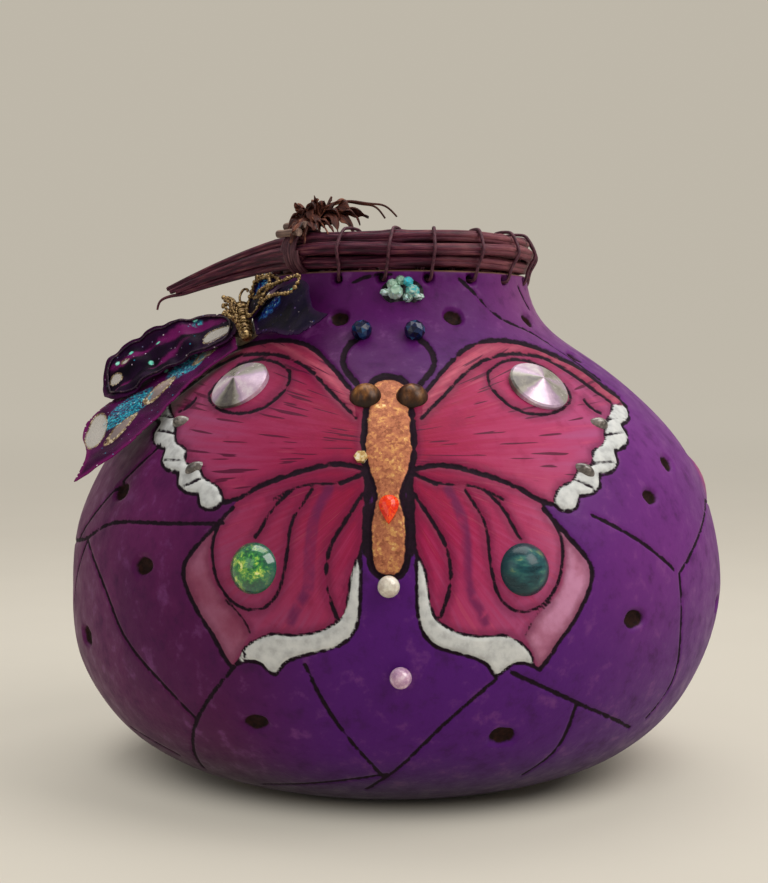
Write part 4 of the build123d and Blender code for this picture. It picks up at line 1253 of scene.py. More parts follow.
@dataclass
class StemRim:
    """Ring of stems lashed to the rim, with its tail, stubs, binding and dried tuft."""

    ring_radius: float = 36.6
    ring_height: float = 6.22
    stem_radius: float = 2.0
    stem_step: float = 4.12
    tail_from: float = 381.0
    tail_leaves: float = 214.0
    tail_reach: Triple = (-41.0, 38.0, -12.4)
    tail_gather: float = 0.42
    binding_at: float = 220.5
    binding_arc: float = 10.5
    binding_bore: float = 6.27
    binding_turns: int = 6
    binding_outer: float = 7.32
    stub_radius: float = 1.25
    loops: int = 14
    thread_radius: float = 0.5

    # Tip of each bract from the tuft's core, width, curl and arch
    bracts: tuple[tuple[float, ...], ...] = (
        (11.4, -1.0, 7.4, 5.0, -0.6, 3.6), (13.5, -3.0, 5.6, 5.4, -1.4, 4.6), (8.0, 1.5, 8.6, 5.0, -1.6, 3.0),
        (5.0, -3.0, 7.6, 5.0, -2.0, 2.6), (16.6, -4.0, 1.0, 5.0, -1.6, 6.0), (19.0, -1.6, 0.6, 4.4, 1.0, 6.4),
        (14.6, -6.0, -2.6, 4.6, -0.8, 6.6), (9.6, -7.0, -1.6, 5.0, -1.0, 6.0),
        (17.6, 1.0, 3.6, 4.4, -1.4, 4.4), (-5.6, -1.0, 0.4, 4.6, -0.8, 3.6),
        (-6.2, -3.0, -2.4, 4.4, -0.6, 4.2), (-3.4, 1.0, 4.4, 4.4, -1.6, 3.0),
        (2.0, -6.4, 1.6, 5.0, -1.4, 4.6), (4.0, -7.6, -2.2, 4.6, -0.6, 6.0), (2.0, 2.0, 6.6, 4.6, -2.0, 2.0),
        (10.6, -4.6, 3.0, 5.2, -2.0, 4.0),
    )

    # Small bracts: how many, and the range of each of the same values
    crumbs: tuple[tuple[int, tuple[Pair, ...]], ...] = (
        (26, ((-4.0, 15.0), (-7.0, 2.5), (-1.5, 7.0), (1.8, 3.4), (-2.6, 1.2), (1.6, 4.6))),
        (9, ((-5.0, 9.0), (-10.5, -7.5), (-7.0, -2.0), (1.6, 3.0), (-0.6, 0.8), (3.4, 5.4))),
    )

    def swell(self, count: int, seed: int, end: float = 1.0) -> Rows:
        """Radii of a grown stem, with soft knots.

        Args:
            count: number of points.
            seed: which stem it is.
            end: share of the radius left at its far end.

        Returns:
            One radius for each point.
        """
        where = np.linspace(0.0, 1.0, count)
        knots = (0.17 + 0.05 * seed % 0.3, 0.53, 0.83 - 0.04 * seed)
        swollen = sum(0.14 * np.exp(-((where - place) / 0.012) ** 2) for place in knots)
        ripple = 0.95 + 0.05 * np.sin(9 * where + seed) + 0.03 * np.sin(31 * where + 2 * seed)
        return self.stem_radius * (ripple + swollen) * np.interp(where, (0.0, 0.72, 1.0), (1.0, 1.0, end))

    def stem(self, name: str, azimuths: Rows, turn: float, step: float, seed: int, closed: bool) -> Piece:
        """One stem of the ring.

        Args:
            name: name of the piece.
            azimuths: azimuths that it runs through, degrees.
            turn: its place round the bundle, degrees.
            step: its distance from the bundle's middle.
            seed: which stem it is.
            closed: whether it is a whole ring.

        Returns:
            The stem.
        """
        waver = np.radians(turn) + 0.10 * np.sin(np.radians(azimuths) * 3 + seed)
        radius = self.ring_radius + step * np.cos(waver)
        height = self.ring_height + step * np.sin(waver)
        path = rim_point(radius, azimuths, height)
        return Bench.tube(name, path, self.swell(len(path), seed), 30, closed, 0.22)

    def tails(self) -> list[Piece]:
        """Outer stems that run round the front and on past the rim, drawn together into a tail.

        Returns:
            The stems and the loose strand at the tail's end.
        """
        made = []
        middle = rim_point(self.ring_radius + self.stem_step, self.tail_leaves, self.ring_height)[0]
        short = self.binding_at + 4.0
        for order, (turn, first) in enumerate((
            (-60.0, self.tail_from), (-24.0, short), (0.0, self.tail_from), (60.0, self.tail_from),
        )):
            radius = self.ring_radius + self.stem_step * math.cos(math.radians(turn))
            height = self.ring_height + self.stem_step * math.sin(math.radians(turn))
            azimuths = np.linspace(first, self.tail_leaves, 110)
            free = np.clip((azimuths - self.tail_leaves) / 20, 0, 1)
            waver = 0.35 * np.sin(np.radians(azimuths) * 4 + order * 2) * free
            ring = rim_point(radius, azimuths, height + waver)
            start = ring[-1]
            heading = start - ring[-3]
            knee = start + heading / np.linalg.norm(heading) * 24.0
            end = (middle + (start - middle) * self.tail_gather
                   + np.array(self.tail_reach) * (0.86 + 0.047 * order))
            path = np.vstack([ring, bend_towards(start, knee, end, np.linspace(0.0, 1.0, 34)[1:, None])])
            made.append(Bench.tube(
                f"tail_stem_{order}", path, self.swell(len(path), order + 5, 0.42), 30, lobes=0.22
            ))
        steps = (
            (10.0, -8.0, 0.4), (5.0, -4.4, -1.6), (0.6, -1.8, -2.4), (-2.6, -0.6, -4.2), (-3.4, 0.0, -6.6)
        )
        loose = smooth([end + step for step in steps], 30)
        made.append(Bench.tube("loose_strand", loose, np.linspace(0.75, 0.35, 30), 8))
        return made

    def thread(self) -> Piece:
        """Lashing thread, drawn tight round the bundle and through the wall at each hole.

        Returns:
            The thread.
        """
        tight = [(0.0, -9.0), (3.3, -8.8), (4.1, -6.6), (4.75, -4.2)]
        for middle in (0.0, 60.0, 120.0, 180.0):
            centre = self.stem_step * np.array([
                math.cos(math.radians(middle)), math.sin(math.radians(middle))
            ])
            for lean in (-30.0, 0.0, 30.0):
                aim = math.radians(middle + lean)
                tight.append(tuple(centre + 2.62 * np.array([math.cos(aim), math.sin(aim)])))
        tight += [(-4.75, -4.2), (-4.0, -6.6), (-3.2, -8.8)]
        loop = smooth(tight, 60, closed=True)
        rows = []
        for turn in range(self.loops):
            share = np.arange(60) / 60.0
            lean = 0.25 * (1 - np.cos(share * TURN)) / 2
            azimuth = (242.0 + 20.0 * (turn + share - lean)
                       + 1.6 * math.sin(turn * 2.1) * np.sin(share * math.pi))
            rows.append(rim_point(self.ring_radius + loop[:, 0], azimuth, self.ring_height + loop[:, 1]))
        return Bench.tube("rim_thread", np.vstack(rows), self.thread_radius, 8)

    def binding(self) -> Piece:
        """Strip wound round the bundle where the tail leaves.

        Returns:
            The wound strip.
        """
        turns = np.linspace(0.0, TURN * self.binding_turns, 36 * self.binding_turns)
        share = turns / turns[-1]
        away = self.binding_bore + 0.42 + 0.06 * np.sin(3 * turns)
        start, arc = self.binding_at - self.binding_arc / 2 + 0.9, self.binding_arc - 1.8
        path = rim_point(self.ring_radius + away * np.cos(turns), start + arc * share,
                         self.ring_height + away * np.sin(turns))
        return Bench.tube("binding_strip", path, 0.62, 8)

    def stubs(self) -> Piece:
        """Two cut stubs beside the binding.

        Returns:
            The stubs.
        """
        made = []
        turn = math.radians(self.binding_at)
        along = np.array([
            -math.sin(turn), math.cos(turn) * math.cos(RIM_TILT), -math.cos(turn) * math.sin(RIM_TILT)
        ])
        away = self.binding_outer + self.stub_radius + 0.1
        for order in (0, 1):
            lean = math.radians(62.0 - 24.0 * order)
            middle = rim_point(self.ring_radius + away * math.cos(lean), self.binding_at,
                               self.ring_height + away * math.sin(lean))[0]
            share = np.linspace(-5.0, 5.0, 16)
            radii = self.stub_radius * (0.94 + 0.05 * np.sin(share * 1.3 + order))
            made.append(Bench.tube(f"stub_{order}", middle + along * share[:, None], radii, 14, lobes=0.06))
        return Bench.join("cut_stubs", made)

    def bract(self, order: int, foot: Rows, tip: Rows, width: float, curl: float, arch: float) -> Piece:
        """One curled dry bract.

        Args:
            order: which bract it is.
            foot: where it grows from.
            tip: where its tip reaches.
            width: its greatest width.
            curl: how far the tip rolls over.
            arch: how high it arches on the way.

        Returns:
            The bract.
        """
        piece, across, along = Bench.net(f"bract_{order}", 6, 26)
        flat = np.array([tip[0] - foot[0], tip[1] - foot[1], 0.0])
        flat /= max(np.linalg.norm(flat), 1e-6)
        rise = np.linalg.norm(tip - foot)
        spine = bend_towards(foot, (foot + tip) / 2 + UP * arch, tip, along[:, None])
        roll = np.clip((along - 0.62) / 0.38, 0.0, 1.0)[:, None]
        spine = spine + roll ** 2 * (UP * curl - flat * abs(curl) * 0.5)
        twist = 1.1 * math.sin(order * 2.3) * along + 0.5 * math.sin(order * 1.1)
        aside = np.cos(twist)[:, None] * np.cross(UP, flat) + np.sin(twist)[:, None] * UP
        half = width / 2 * np.sin(np.pi * np.clip(0.2 + 0.8 * along, 0, 1)) ** 0.6
        half = half * (1 + 0.2 * np.sin(along * 17 + order * 1.7) * np.abs(2 * across - 1))
        offset = (2 * across - 1) * half
        cup = -0.34 * offset ** 2 / max(width / 2, 0.1) + 0.25 * np.sin(along * 13 + across * 5 + order)
        Bench.move(piece, spine + offset[:, None] * aside + cup[:, None] * UP)
        Bench.mark(piece, "grain", np.column_stack([along * rise, offset, np.full(len(offset), order * 7.0)]))
        Bench.thicken(piece, 0.3)
        Bench.edit(piece)
        Bench.close()
        Bench.shade(piece, 60.0)
        return piece

    def tuft(self) -> Piece:
        """Dried tuft of curled bracts that lies over the bundle, with its two tendrils.

        Returns:
            The tuft.
        """
        foot = rim_point(self.ring_radius, self.binding_at, self.ring_height + self.binding_outer + 0.1)[0]
        core = foot + (0.0, 0.0, 1.2)
        chance = np.random.default_rng(7)
        made = []
        plan = [(x, y, z, width * 0.7, curl, arch) for x, y, z, width, curl, arch in self.bracts]
        for count, ranges in self.crumbs:
            plan += [tuple(chance.uniform(*limits) for limits in ranges) for _ in range(count)]
        for order, (x, y, z, width, curl, arch) in enumerate(plan):
            aside = chance.uniform(-1.6, 2.4) + 0.35 * max(x, 0.0)
            start = core + (aside, chance.uniform(-1.4, 1.0), chance.uniform(-0.8, 1.2))
            made.append(self.bract(order, start, core + (x, y, z), width, curl, arch))
        for order, tip in enumerate(((27.0, -2.0, 2.0), (23.5, 1.0, 1.6))):
            end = core + tip
            crown = core + (tip[0] * 0.5, tip[1] * 0.5, 6.2)
            shoulder = core + (crown - core) * (0.45, 0.5, 0.85)
            path = smooth([core, shoulder, crown, (crown + end) / 2 + (2.2, 0, 1.2), end], 40)
            path[:, 2] += 0.35 * np.sin(np.linspace(0, 16, 40))
            made.append(Bench.tube(f"tendril_{order}", path, np.linspace(0.5, 0.28, 40), 8))
        made.append(Bench.tube(
            "stalk", np.linspace(foot, core + (0, 0, 2.2), 8), np.linspace(3.0, 1.6, 8), 10
        ))
        return Bench.join("dried_tuft", made)

    def build(self) -> None:
        """Make the rim and fit its pieces in place of their nodes."""
        plum = Finish("plum_stem", (
            (0.0, 36, 11, 22), (0.35, 66, 24, 42), (0.62, 90, 38, 56),
            (0.84, 108, 58, 64), (1.0, 136, 90, 94),
        ), Grain.ALONG, 0.9, (0.09, 1.0, 1.0), (0.42, 0.62), 0.6, 0.4,
            specular=0.18, painted_light_side=paint(134, 80, 84))
        bare = Finish("bare_stem", ((0.0, 78, 56, 48), (0.5, 118, 92, 80), (1.0, 150, 124, 108)),
                      Grain.ALONG, 1.2, (0.1, 1.0, 1.0), (0.5, 0.7), 0.5, 0.25)
        strip = Finish("binding_strip", ((0.0, 42, 18, 26), (0.5, 74, 36, 48), (1.0, 112, 72, 78)),
                       Grain.ALONG, 0.8, (0.2, 1.0, 1.0), (0.4, 0.6), 0.4, 0.2, specular=0.3)
        waxed = Finish("lashing_thread", ((0.0, 40, 16, 26), (0.5, 76, 36, 50), (1.0, 108, 64, 74)),
                       Grain.ALONG, 1.6, (0.5, 1.4, 1.4), (0.42, 0.62), 0.5, 0.15, specular=0.3)
        dry = Finish("dried_bract",
                     ((0.0, 28, 10, 8), (0.4, 58, 24, 18), (0.75, 90, 46, 34), (1.0, 136, 86, 62)),
                     Grain.ALONG, 0.9, (0.16, 1.2, 1.0), (0.5, 0.75), 0.5, 0.25, specular=0.25)
        whole = np.linspace(0.0, 360.0, 150, endpoint=False)
        rings = [self.stem("ring_stem_0", whole, 0.0, 0.0, 0, True)]
        for order, turn in enumerate((120.0, 180.0, 240.0), 1):
            rings.append(self.stem(f"ring_stem_{order}", whole, turn, self.stem_step, order, True))
        back = np.linspace(23.0, 183.0, 80)
        for order, turn in enumerate((-60.0, 0.0, 60.0)):
            rings.append(self.stem(f"back_stem_{order}", back, turn, self.stem_step, order + 8, False))
        plum.dress(Bench.join("ring_stems", rings), "rim_stems")
        plum.dress(Bench.join("tail_stems", self.tails()), "rim_tail_stems")
        bare.dress(self.stubs(), "rim_stub_stems")
        strip.dress(self.binding(), "rim_binding")
        waxed.dress(self.thread(), "rim_lashing")
        dry.dress(self.tuft(), "tuft")


@dataclass
class Stones:
    """Glued stones of the painted butterfly and the neck."""

    rivoli_radius: float = 9.1
    rivoli_crown: float = 3.0
    rivoli_lean: float = 3.5
    dome_radius: float = 7.2
    dome_rise: float = 5.0
    eye_radius: float = 4.6
    eye_rise: float = 3.8
    pearl_radius: float = 2.95
    pearl_flat: float = 1.5
    bead_radius: float = 3.1
    bead_flat: float = 1.6
    drop_radius: float = 2.7

    # Seats of the pairs: distance from the midline, and height
    rivoli_seat: Pair = (42.4, 122.7)
    dome_seat: Pair = (36.5, 75.9)
    eye_seat: Pair = (6.5, 121.1)
    bead_seat: Pair = (7.4, 137.4)

    # Stones of the cluster: place, radius, sides, crown, lift and sparkle values
    cluster_plan: tuple[tuple[float, float, float, int, float, float, tuple[float, ...]], ...] = (
        (-2.1, -0.2, 2.45, 10, 2.6, 0.0, (0.36, 0.46, 0.46, 1.0)),
        (-2.9, 1.9, 1.75, 9, 2.0, 0.4, (0.2, 0.36, 0.46, 0.36)),
        (-0.5, 3.1, 1.6, 9, 2.0, 0.3, (0.1, 0.3, 0.36, 0.2)),
        (1.7, 2.7, 1.6, 9, 2.4, 0.5, (0.78, 0.78, 0.7, 0.82)),
        (3.0, 0.0, 2.1, 10, 2.3, 0.2, (0.58, 0.62, 0.5, 0.66)),
        (1.6, -1.9, 1.6, 9, 1.8, 0.0, (0.1, 0.4, 0.2, 1.0)),
        (-5.0, -0.4, 1.2, 7, 1.4, 0.0, (0.2, 0.46, 1.0)), (4.9, -1.7, 1.15, 7, 1.4, 0.0, (0.46, 1.0, 0.1)),
    )

    @staticmethod
    def facets(piece: Piece, seed: int, tones: Sequence[float] = ()) -> None:
        """Give each face its own painted sparkle: a tone that stands for the light it reflects.

        Args:
            piece: cut stone.
            seed: which stone it is.
            tones: values to choose from, or nothing for any value.
        """
        count = len(piece.data.polygons)
        chance = np.random.default_rng(seed)
        values = chance.choice(np.asarray(tones), count) if len(tones) else chance.random(count)
        Bench.mark(piece, "facet", values, "FACE")

    @staticmethod
    def disc(name: str, sides: int, radius: float) -> Piece:
        """Flat disc that a stone is drawn up from."""
        flat = bpy.ops.mesh.primitive_circle_add
        return Bench.start(name, flat, vertices=sides, radius=radius * MM, fill_type="NGON")

    @staticmethod
    def paired(side: int, spot: Pair, depth: float = 0.6) -> Matrix:
        """Seat of one stone of a pair, by its distance from the midline and its height."""
        return seat(FIGURE_X + side * spot[0], spot[1], depth)

    @staticmethod
    def cut(name: str, sides: int, radius: float, girdle: float, crown: float, table: float, seed: int,
            tones: Sequence[float] = ()) -> Piece:
        """Round cut stone with two tiers of facets and a table.

        Args:
            name: name of the piece.
            sides: sides of the girdle.
            radius: radius of the girdle.
            girdle: height of the girdle.
            crown: height of the crown over the girdle.
            table: share of the radius that the table has.
            seed: which stone it is.
            tones: sparkle values to choose from.

        Returns:
            The stone, with its foot on its own z = 0.
        """
        waist = (1.0 + table) / 2
        piece = Stones.disc(name, sides, radius)
        Bench.edit(piece)
        Bench.draw_up(girdle)
        Bench.draw_up(crown * 0.62)
        Bench.narrow(waist, waist)
        bpy.ops.transform.rotate(value=math.pi / sides, orient_axis="Z", center_override=(0, 0, 0))
        Bench.draw_up(crown * 0.38)
        Bench.narrow(table / waist, table / waist)
        bpy.ops.mesh.select_all(action="SELECT")
        bpy.ops.mesh.quads_convert_to_tris(ngon_method="CLIP")
        Bench.close()
        Stones.facets(piece, seed, tones)
        return piece

    def rivoli(self, name: str, turn: float) -> Piece:
        """Pointed round crystal: one ring of narrow facets, with painted reflections that shine in sectors.

        Args:
            name: name of the piece.
            turn: turn of the sectors, radians.

        Returns:
            The stone, with its foot under its own z = 0.
        """
        piece = self.disc(name, 48, self.rivoli_radius * 0.97)
        Bench.edit(piece)
        bpy.ops.transform.translate(value=(0, 0, -1.4 * MM))
        Bench.draw_up(2.0)
        Bench.narrow(1.03, 1.03)
        Bench.draw_up(0.5)
        for share, rise in ((0.94, 0.16), (0.62, 0.32), (0.3, 0.3), (0.05, 0.22)):
            Bench.draw_up(self.rivoli_crown * rise)
            grown = np.linalg.norm(Bench.rings(piece)[:, :2], axis=1)
            shrink = share * self.rivoli_radius / float(grown.max())
            Bench.narrow(shrink, shrink)
        Bench.close()
        places = Bench.corners(piece)
        # Painted reflection: brightness by angle, in broad sectors round the stone
        angle = np.arctan2(places[:, 1], places[:, 0]) + turn
        painted_shine = (0.5 + 0.32 * np.sin(2 * angle) + 0.24 * np.sin(3 * angle + 1.1)
                + 0.12 * np.sin(5 * angle + 2.0))
        Bench.mark(piece, "facet", np.clip(painted_shine, 0.0, 1.0))
        Bench.shade(piece, 16.0)
        return piece

    @staticmethod
    def dome(name: str, radius: float, rise: float, stretch: Pair = (1.0, 1.0)) -> Piece:
        """Domed stone with a flat foot.

        Args:
            name: name of the piece.
            radius: radius of the foot.
            rise: height of the dome.
            stretch: shares of the radius kept across and along.

        Returns:
            The stone, with its foot on its own z = 0.
        """
        ball = (radius ** 2 + rise ** 2) / (2 * rise)
        piece = Bench.start(
            name, bpy.ops.mesh.primitive_uv_sphere_add, segments=40, ring_count=28, radius=ball * MM
        )
        Bench.edit(piece)
        Bench.cut_foot(rise - ball)
        bpy.ops.mesh.select_all(action="SELECT")
        Bench.narrow(*stretch)
        Bench.close()
        across = np.linalg.norm(Bench.corners(piece)[:, :2], axis=1)
        Bench.mark(piece, "facet", np.clip(across / radius, 0.0, 1.0))
        Bench.shade(piece, 40.0)
        return piece

    @staticmethod
    def bead(name: str, radius: float, flat: float, seed: int | None = None) -> Piece:
        """Bead with a small flat where it is glued.

        Args:
            name: name of the piece.
            radius: radius of the bead.
            flat: radius of the flat.
            seed: which cut bead it is, or nothing for a smooth one.

        Returns:
            The bead, with its flat on its own z = 0.
        """
        if seed is None:
            ball = bpy.ops.mesh.primitive_uv_sphere_add
            piece = Bench.start(name, ball, segments=36, ring_count=24, radius=radius * MM)
        else:
            piece = Bench.start(
                name, bpy.ops.mesh.primitive_ico_sphere_add, subdivisions=2, radius=radius * MM
            )
        Bench.edit(piece)
        Bench.cut_foot(math.sqrt(radius ** 2 - flat ** 2))
        Bench.close()
        if seed is None:
            Bench.shade(piece, 40.0)
        else:
            Stones.facets(piece, seed)
        return piece

    def drop(self) -> Piece:
        """Cut teardrop with its tip down.

        Returns:
            The stone, with its foot on its own z = 0.
        """
        piece = self.disc("teardrop", 24, self.drop_radius)
        places = Bench.corners(piece)
        down = np.clip(-places[:, 1] / self.drop_radius, 0.0, 1.0)
        places[:, 0] *= 1.0 - 0.66 * down ** 1.4
        places[:, 1] *= np.where(places[:, 1] < 0, 1.96, 1.0)
        Bench.move(piece, places)
        Bench.edit(piece)
        Bench.draw_up(1.2)
        Bench.draw_up(0.8)
        Bench.narrow(0.66, 0.72)
        Bench.draw_up(0.4)
        Bench.narrow(0.4, 0.5)
        bpy.ops.mesh.select_all(action="SELECT")
        bpy.ops.mesh.quads_convert_to_tris()
        Bench.close()
        self.facets(piece, 41, (0.3, 0.42, 0.5, 0.6, 0.8))
        return piece

    def cluster(self) -> Piece:
        """Cut stones of the cluster under the rim.

        Returns:
            The stones, on the plate's own frame.
        """
        made = []
        for order, (x, y, radius, sides, crown, lift, tones) in enumerate(self.cluster_plan):
            stone = self.cut(
                f"cluster_stone_{order}", sides, radius, 0.7 + lift, crown * 0.72, 0.5, 60 + order, tones
            )
            shape = Matrix.Diagonal((1.35 if sides == 7 else 1.0, 0.95, 1.0, 1.0))
            made.append(Bench.place(stone, Matrix.Translation(Vector((x, y, 1.4)) * MM) @ shape))
        return Bench.join("cluster_cut", made)

    def build(self) -> None:
        """Make all stones and fit them in place of their nodes."""
        foil_painted_shine = Finish("clear_crystal", (
            (0.0, 74, 68, 70), (0.2, 122, 116, 104), (0.4, 158, 152, 144),
            (0.58, 168, 142, 166), (0.76, 204, 178, 196), (1.0, 238, 234, 228),
        ), Grain.FACET, 0.5, roughness=(0.2, 0.28), bump=0.02, metallic=0.2, coat=0.25, specular=0.4)
        green = Finish("green_glass", (
            (0.0, 6, 40, 30), (0.3, 20, 92, 50), (0.52, 50, 136, 56),
            (0.7, 122, 180, 64), (0.84, 208, 220, 92), (1.0, 250, 250, 196),
        ), Grain.FLAKE, 0.34, roughness=(0.1, 0.2), bump=0.04, coat=0.6, rim=paint(18, 84, 72))
        teal = Finish("teal_glass",
                      ((0.0, 6, 34, 44), (0.5, 20, 74, 80), (0.8, 48, 104, 96), (1.0, 132, 150, 100)),
                      Grain.OBJECT, 0.22, (0.6, 1.0, 1.6), (0.26, 0.36), 0.03, coat=0.15, specular=0.3,
                      rim=paint(10, 52, 60))
        tiger = Finish("brown_stone",
                       ((0.0, 46, 25, 10), (0.45, 86, 50, 19), (0.75, 118, 74, 30), (1.0, 156, 106, 50)),
                       Grain.OBJECT, 0.3, (1.4, 0.6, 0.8), (0.3, 0.42), 0.05,
                       specular=0.3, rim=paint(24, 11, 6))
        red = Finish("red_glass",
                     ((0.0, 196, 22, 6), (0.45, 236, 46, 8), (0.8, 252, 88, 16), (1.0, 255, 146, 48)),
                     Grain.FACET, 0.5, roughness=(0.12, 0.22), bump=0.02, coat=0.25, specular=0.3)
        ivory = Finish("pearl", ((0.0, 186, 172, 158), (0.5, 216, 208, 192), (1.0, 232, 226, 214)),
                       Grain.OBJECT, 0.5, roughness=(0.16, 0.28), bump=0.04, coat=0.6, inner_light=0.15)
        rosy = replace(ivory, name="pearl_rosy",
                       stops=((0.0, 166, 122, 158), (0.5, 204, 166, 190), (1.0, 232, 210, 220)))
        blue = Finish("blue_glass",
                      ((0.0, 6, 8, 26), (0.6, 14, 22, 60), (0.88, 22, 52, 96), (1.0, 52, 96, 132)),
                      Grain.FACET, 0.5, roughness=(0.14, 0.24), bump=0.02, coat=0.25, specular=0.3)
        aqua = Finish("aqua_crystal", (
            (0.0, 58, 84, 86), (0.16, 96, 130, 118), (0.36, 150, 190, 166), (0.48, 196, 222, 202),
            (0.6, 96, 186, 184), (0.78, 24, 204, 232), (0.88, 190, 238, 236), (1.0, 248, 252, 250),
        ), Grain.FACET, 0.5, roughness=(0.08, 0.16), bump=0.02, metallic=0.2, coat=1.0)
        grey = Finish("grey_stone", ((0.0, 52, 46, 43), (0.5, 92, 84, 78), (1.0, 156, 146, 138)),
                      Grain.OBJECT, 0.4, roughness=(0.16, 0.26), bump=0.05, coat=0.5, rim=paint(112, 102, 96))
        pivot = Matrix.Translation((0, -self.rivoli_radius * MM, 0))
        lean = pivot @ Matrix.Rotation(math.radians(self.rivoli_lean), 4, "X") @ pivot.inverted()
        for (side, name), turn in zip(SIDES, (0.6, 2.5)):
            stone = self.rivoli(f"pointed_crystal_{name}", turn)
            foil_painted_shine.dress(Bench.place(stone, self.paired(side, self.rivoli_seat) @ lean), f"rivoli_{name}")
        for (side, name), glass in zip(SIDES, (green, teal)):
            stone = self.dome(f"domed_glass_{name}", self.dome_radius, self.dome_rise)
            glass.dress(Bench.place(stone, self.paired(side, self.dome_seat)), f"dome_{name}")
        for side, name in SIDES:
            stone = self.dome(f"eye_stone_{name}", self.eye_radius, self.eye_rise)
            tiger.dress(Bench.place(stone, self.paired(side, self.eye_seat)), f"eye_{name}")
        red.dress(Bench.place(self.drop(), seat(FIGURE_X, 93.3)), "drop_stone")
        for name, finish, frame in (
            ("upper", ivory, seat(FIGURE_X, 72.3)), ("lower", rosy, seat(-0.3, 48.5)),
        ):
            pearl = self.bead(f"pearl_bead_{name}", self.pearl_radius, self.pearl_flat)
            finish.dress(Bench.place(pearl, frame), f"pearl_{name}", slot="pearl")
        for side, name in SIDES:
            stone = self.bead(f"cut_bead_{name}", self.bead_radius, self.bead_flat, 30 + side)
            blue.dress(Bench.place(stone, self.paired(side, self.bead_seat)), f"antenna_bead_{name}")
        aqua.dress(Bench.place(self.cluster(), seat(0.6, 149.9)), "cluster_stones")
        margins = []
        for side, _ in SIDES:
            for spread, height, turn in ((60.0, 112.4, 0.35), (54.3, 100.7, 0.6)):
                stone = self.dome(f"margin_{side}_{int(height)}", 3.2, 2.0, (1.0, 0.6))
                frame = self.paired(side, (spread, height), 0.0) @ Matrix.Rotation(-side * turn, 4, "Z")
                margins.append(Bench.place(stone, frame))
        grey.dress(Bench.join("margin_glass", margins), "margin_stones")


@dataclass(frozen=True)
class Spot:
    """Oval on a wing, in its own plane: middle and half sizes."""

    x: float
    y: float
    half_x: float
    half_y: float
    turn: float = 0.0

    def gap(self, flat: Rows) -> Rows:
        """Rough distance to the oval's edge, negative inside it.

        Args:
            flat: places in the wing's plane, one row each.

        Returns:
            One distance for each place.
        """
        lean = math.radians(self.turn)
        shift = flat - (self.x, self.y)
        along = shift[:, 0] * math.cos(lean) + shift[:, 1] * math.sin(lean)
        aside = shift[:, 1] * math.cos(lean) - shift[:, 0] * math.sin(lean)
        return (np.hypot(along / self.half_x, aside / self.half_y) - 1.0) * min(self.half_x, self.half_y)


@dataclass(frozen=True)
class WingCloth:
    """What is drawn on one wing: glitter, gold-lined cells, clear ovals, plum streaks and sparkles."""

    glitter: tuple[Spot, ...] = ()
    cell: tuple[Spot, ...] = ()
    clear: tuple[Spot, ...] = ()
    streak: tuple[Spot, ...] = ()
    sparks: tuple[Pair, ...] = ()

    def mark(self, piece: Piece, flat: Rows) -> None:
        """Store the drawing on a wing's corners.

        Args:
            piece: the wing.
            flat: its corners in its own plane.
        """
        far = np.full(len(flat), FAR)
        for name in ("glitter", "cell", "clear", "streak"):
            gaps = [spot.gap(flat) for spot in getattr(self, name)]
            Bench.mark(piece, name, np.clip(np.min([far, *gaps], axis=0), -FAR, FAR))
        gaps = [np.linalg.norm(flat - point, axis=1) for point in self.sparks]
        Bench.mark(piece, "spark", np.min([far, *gaps], axis=0))


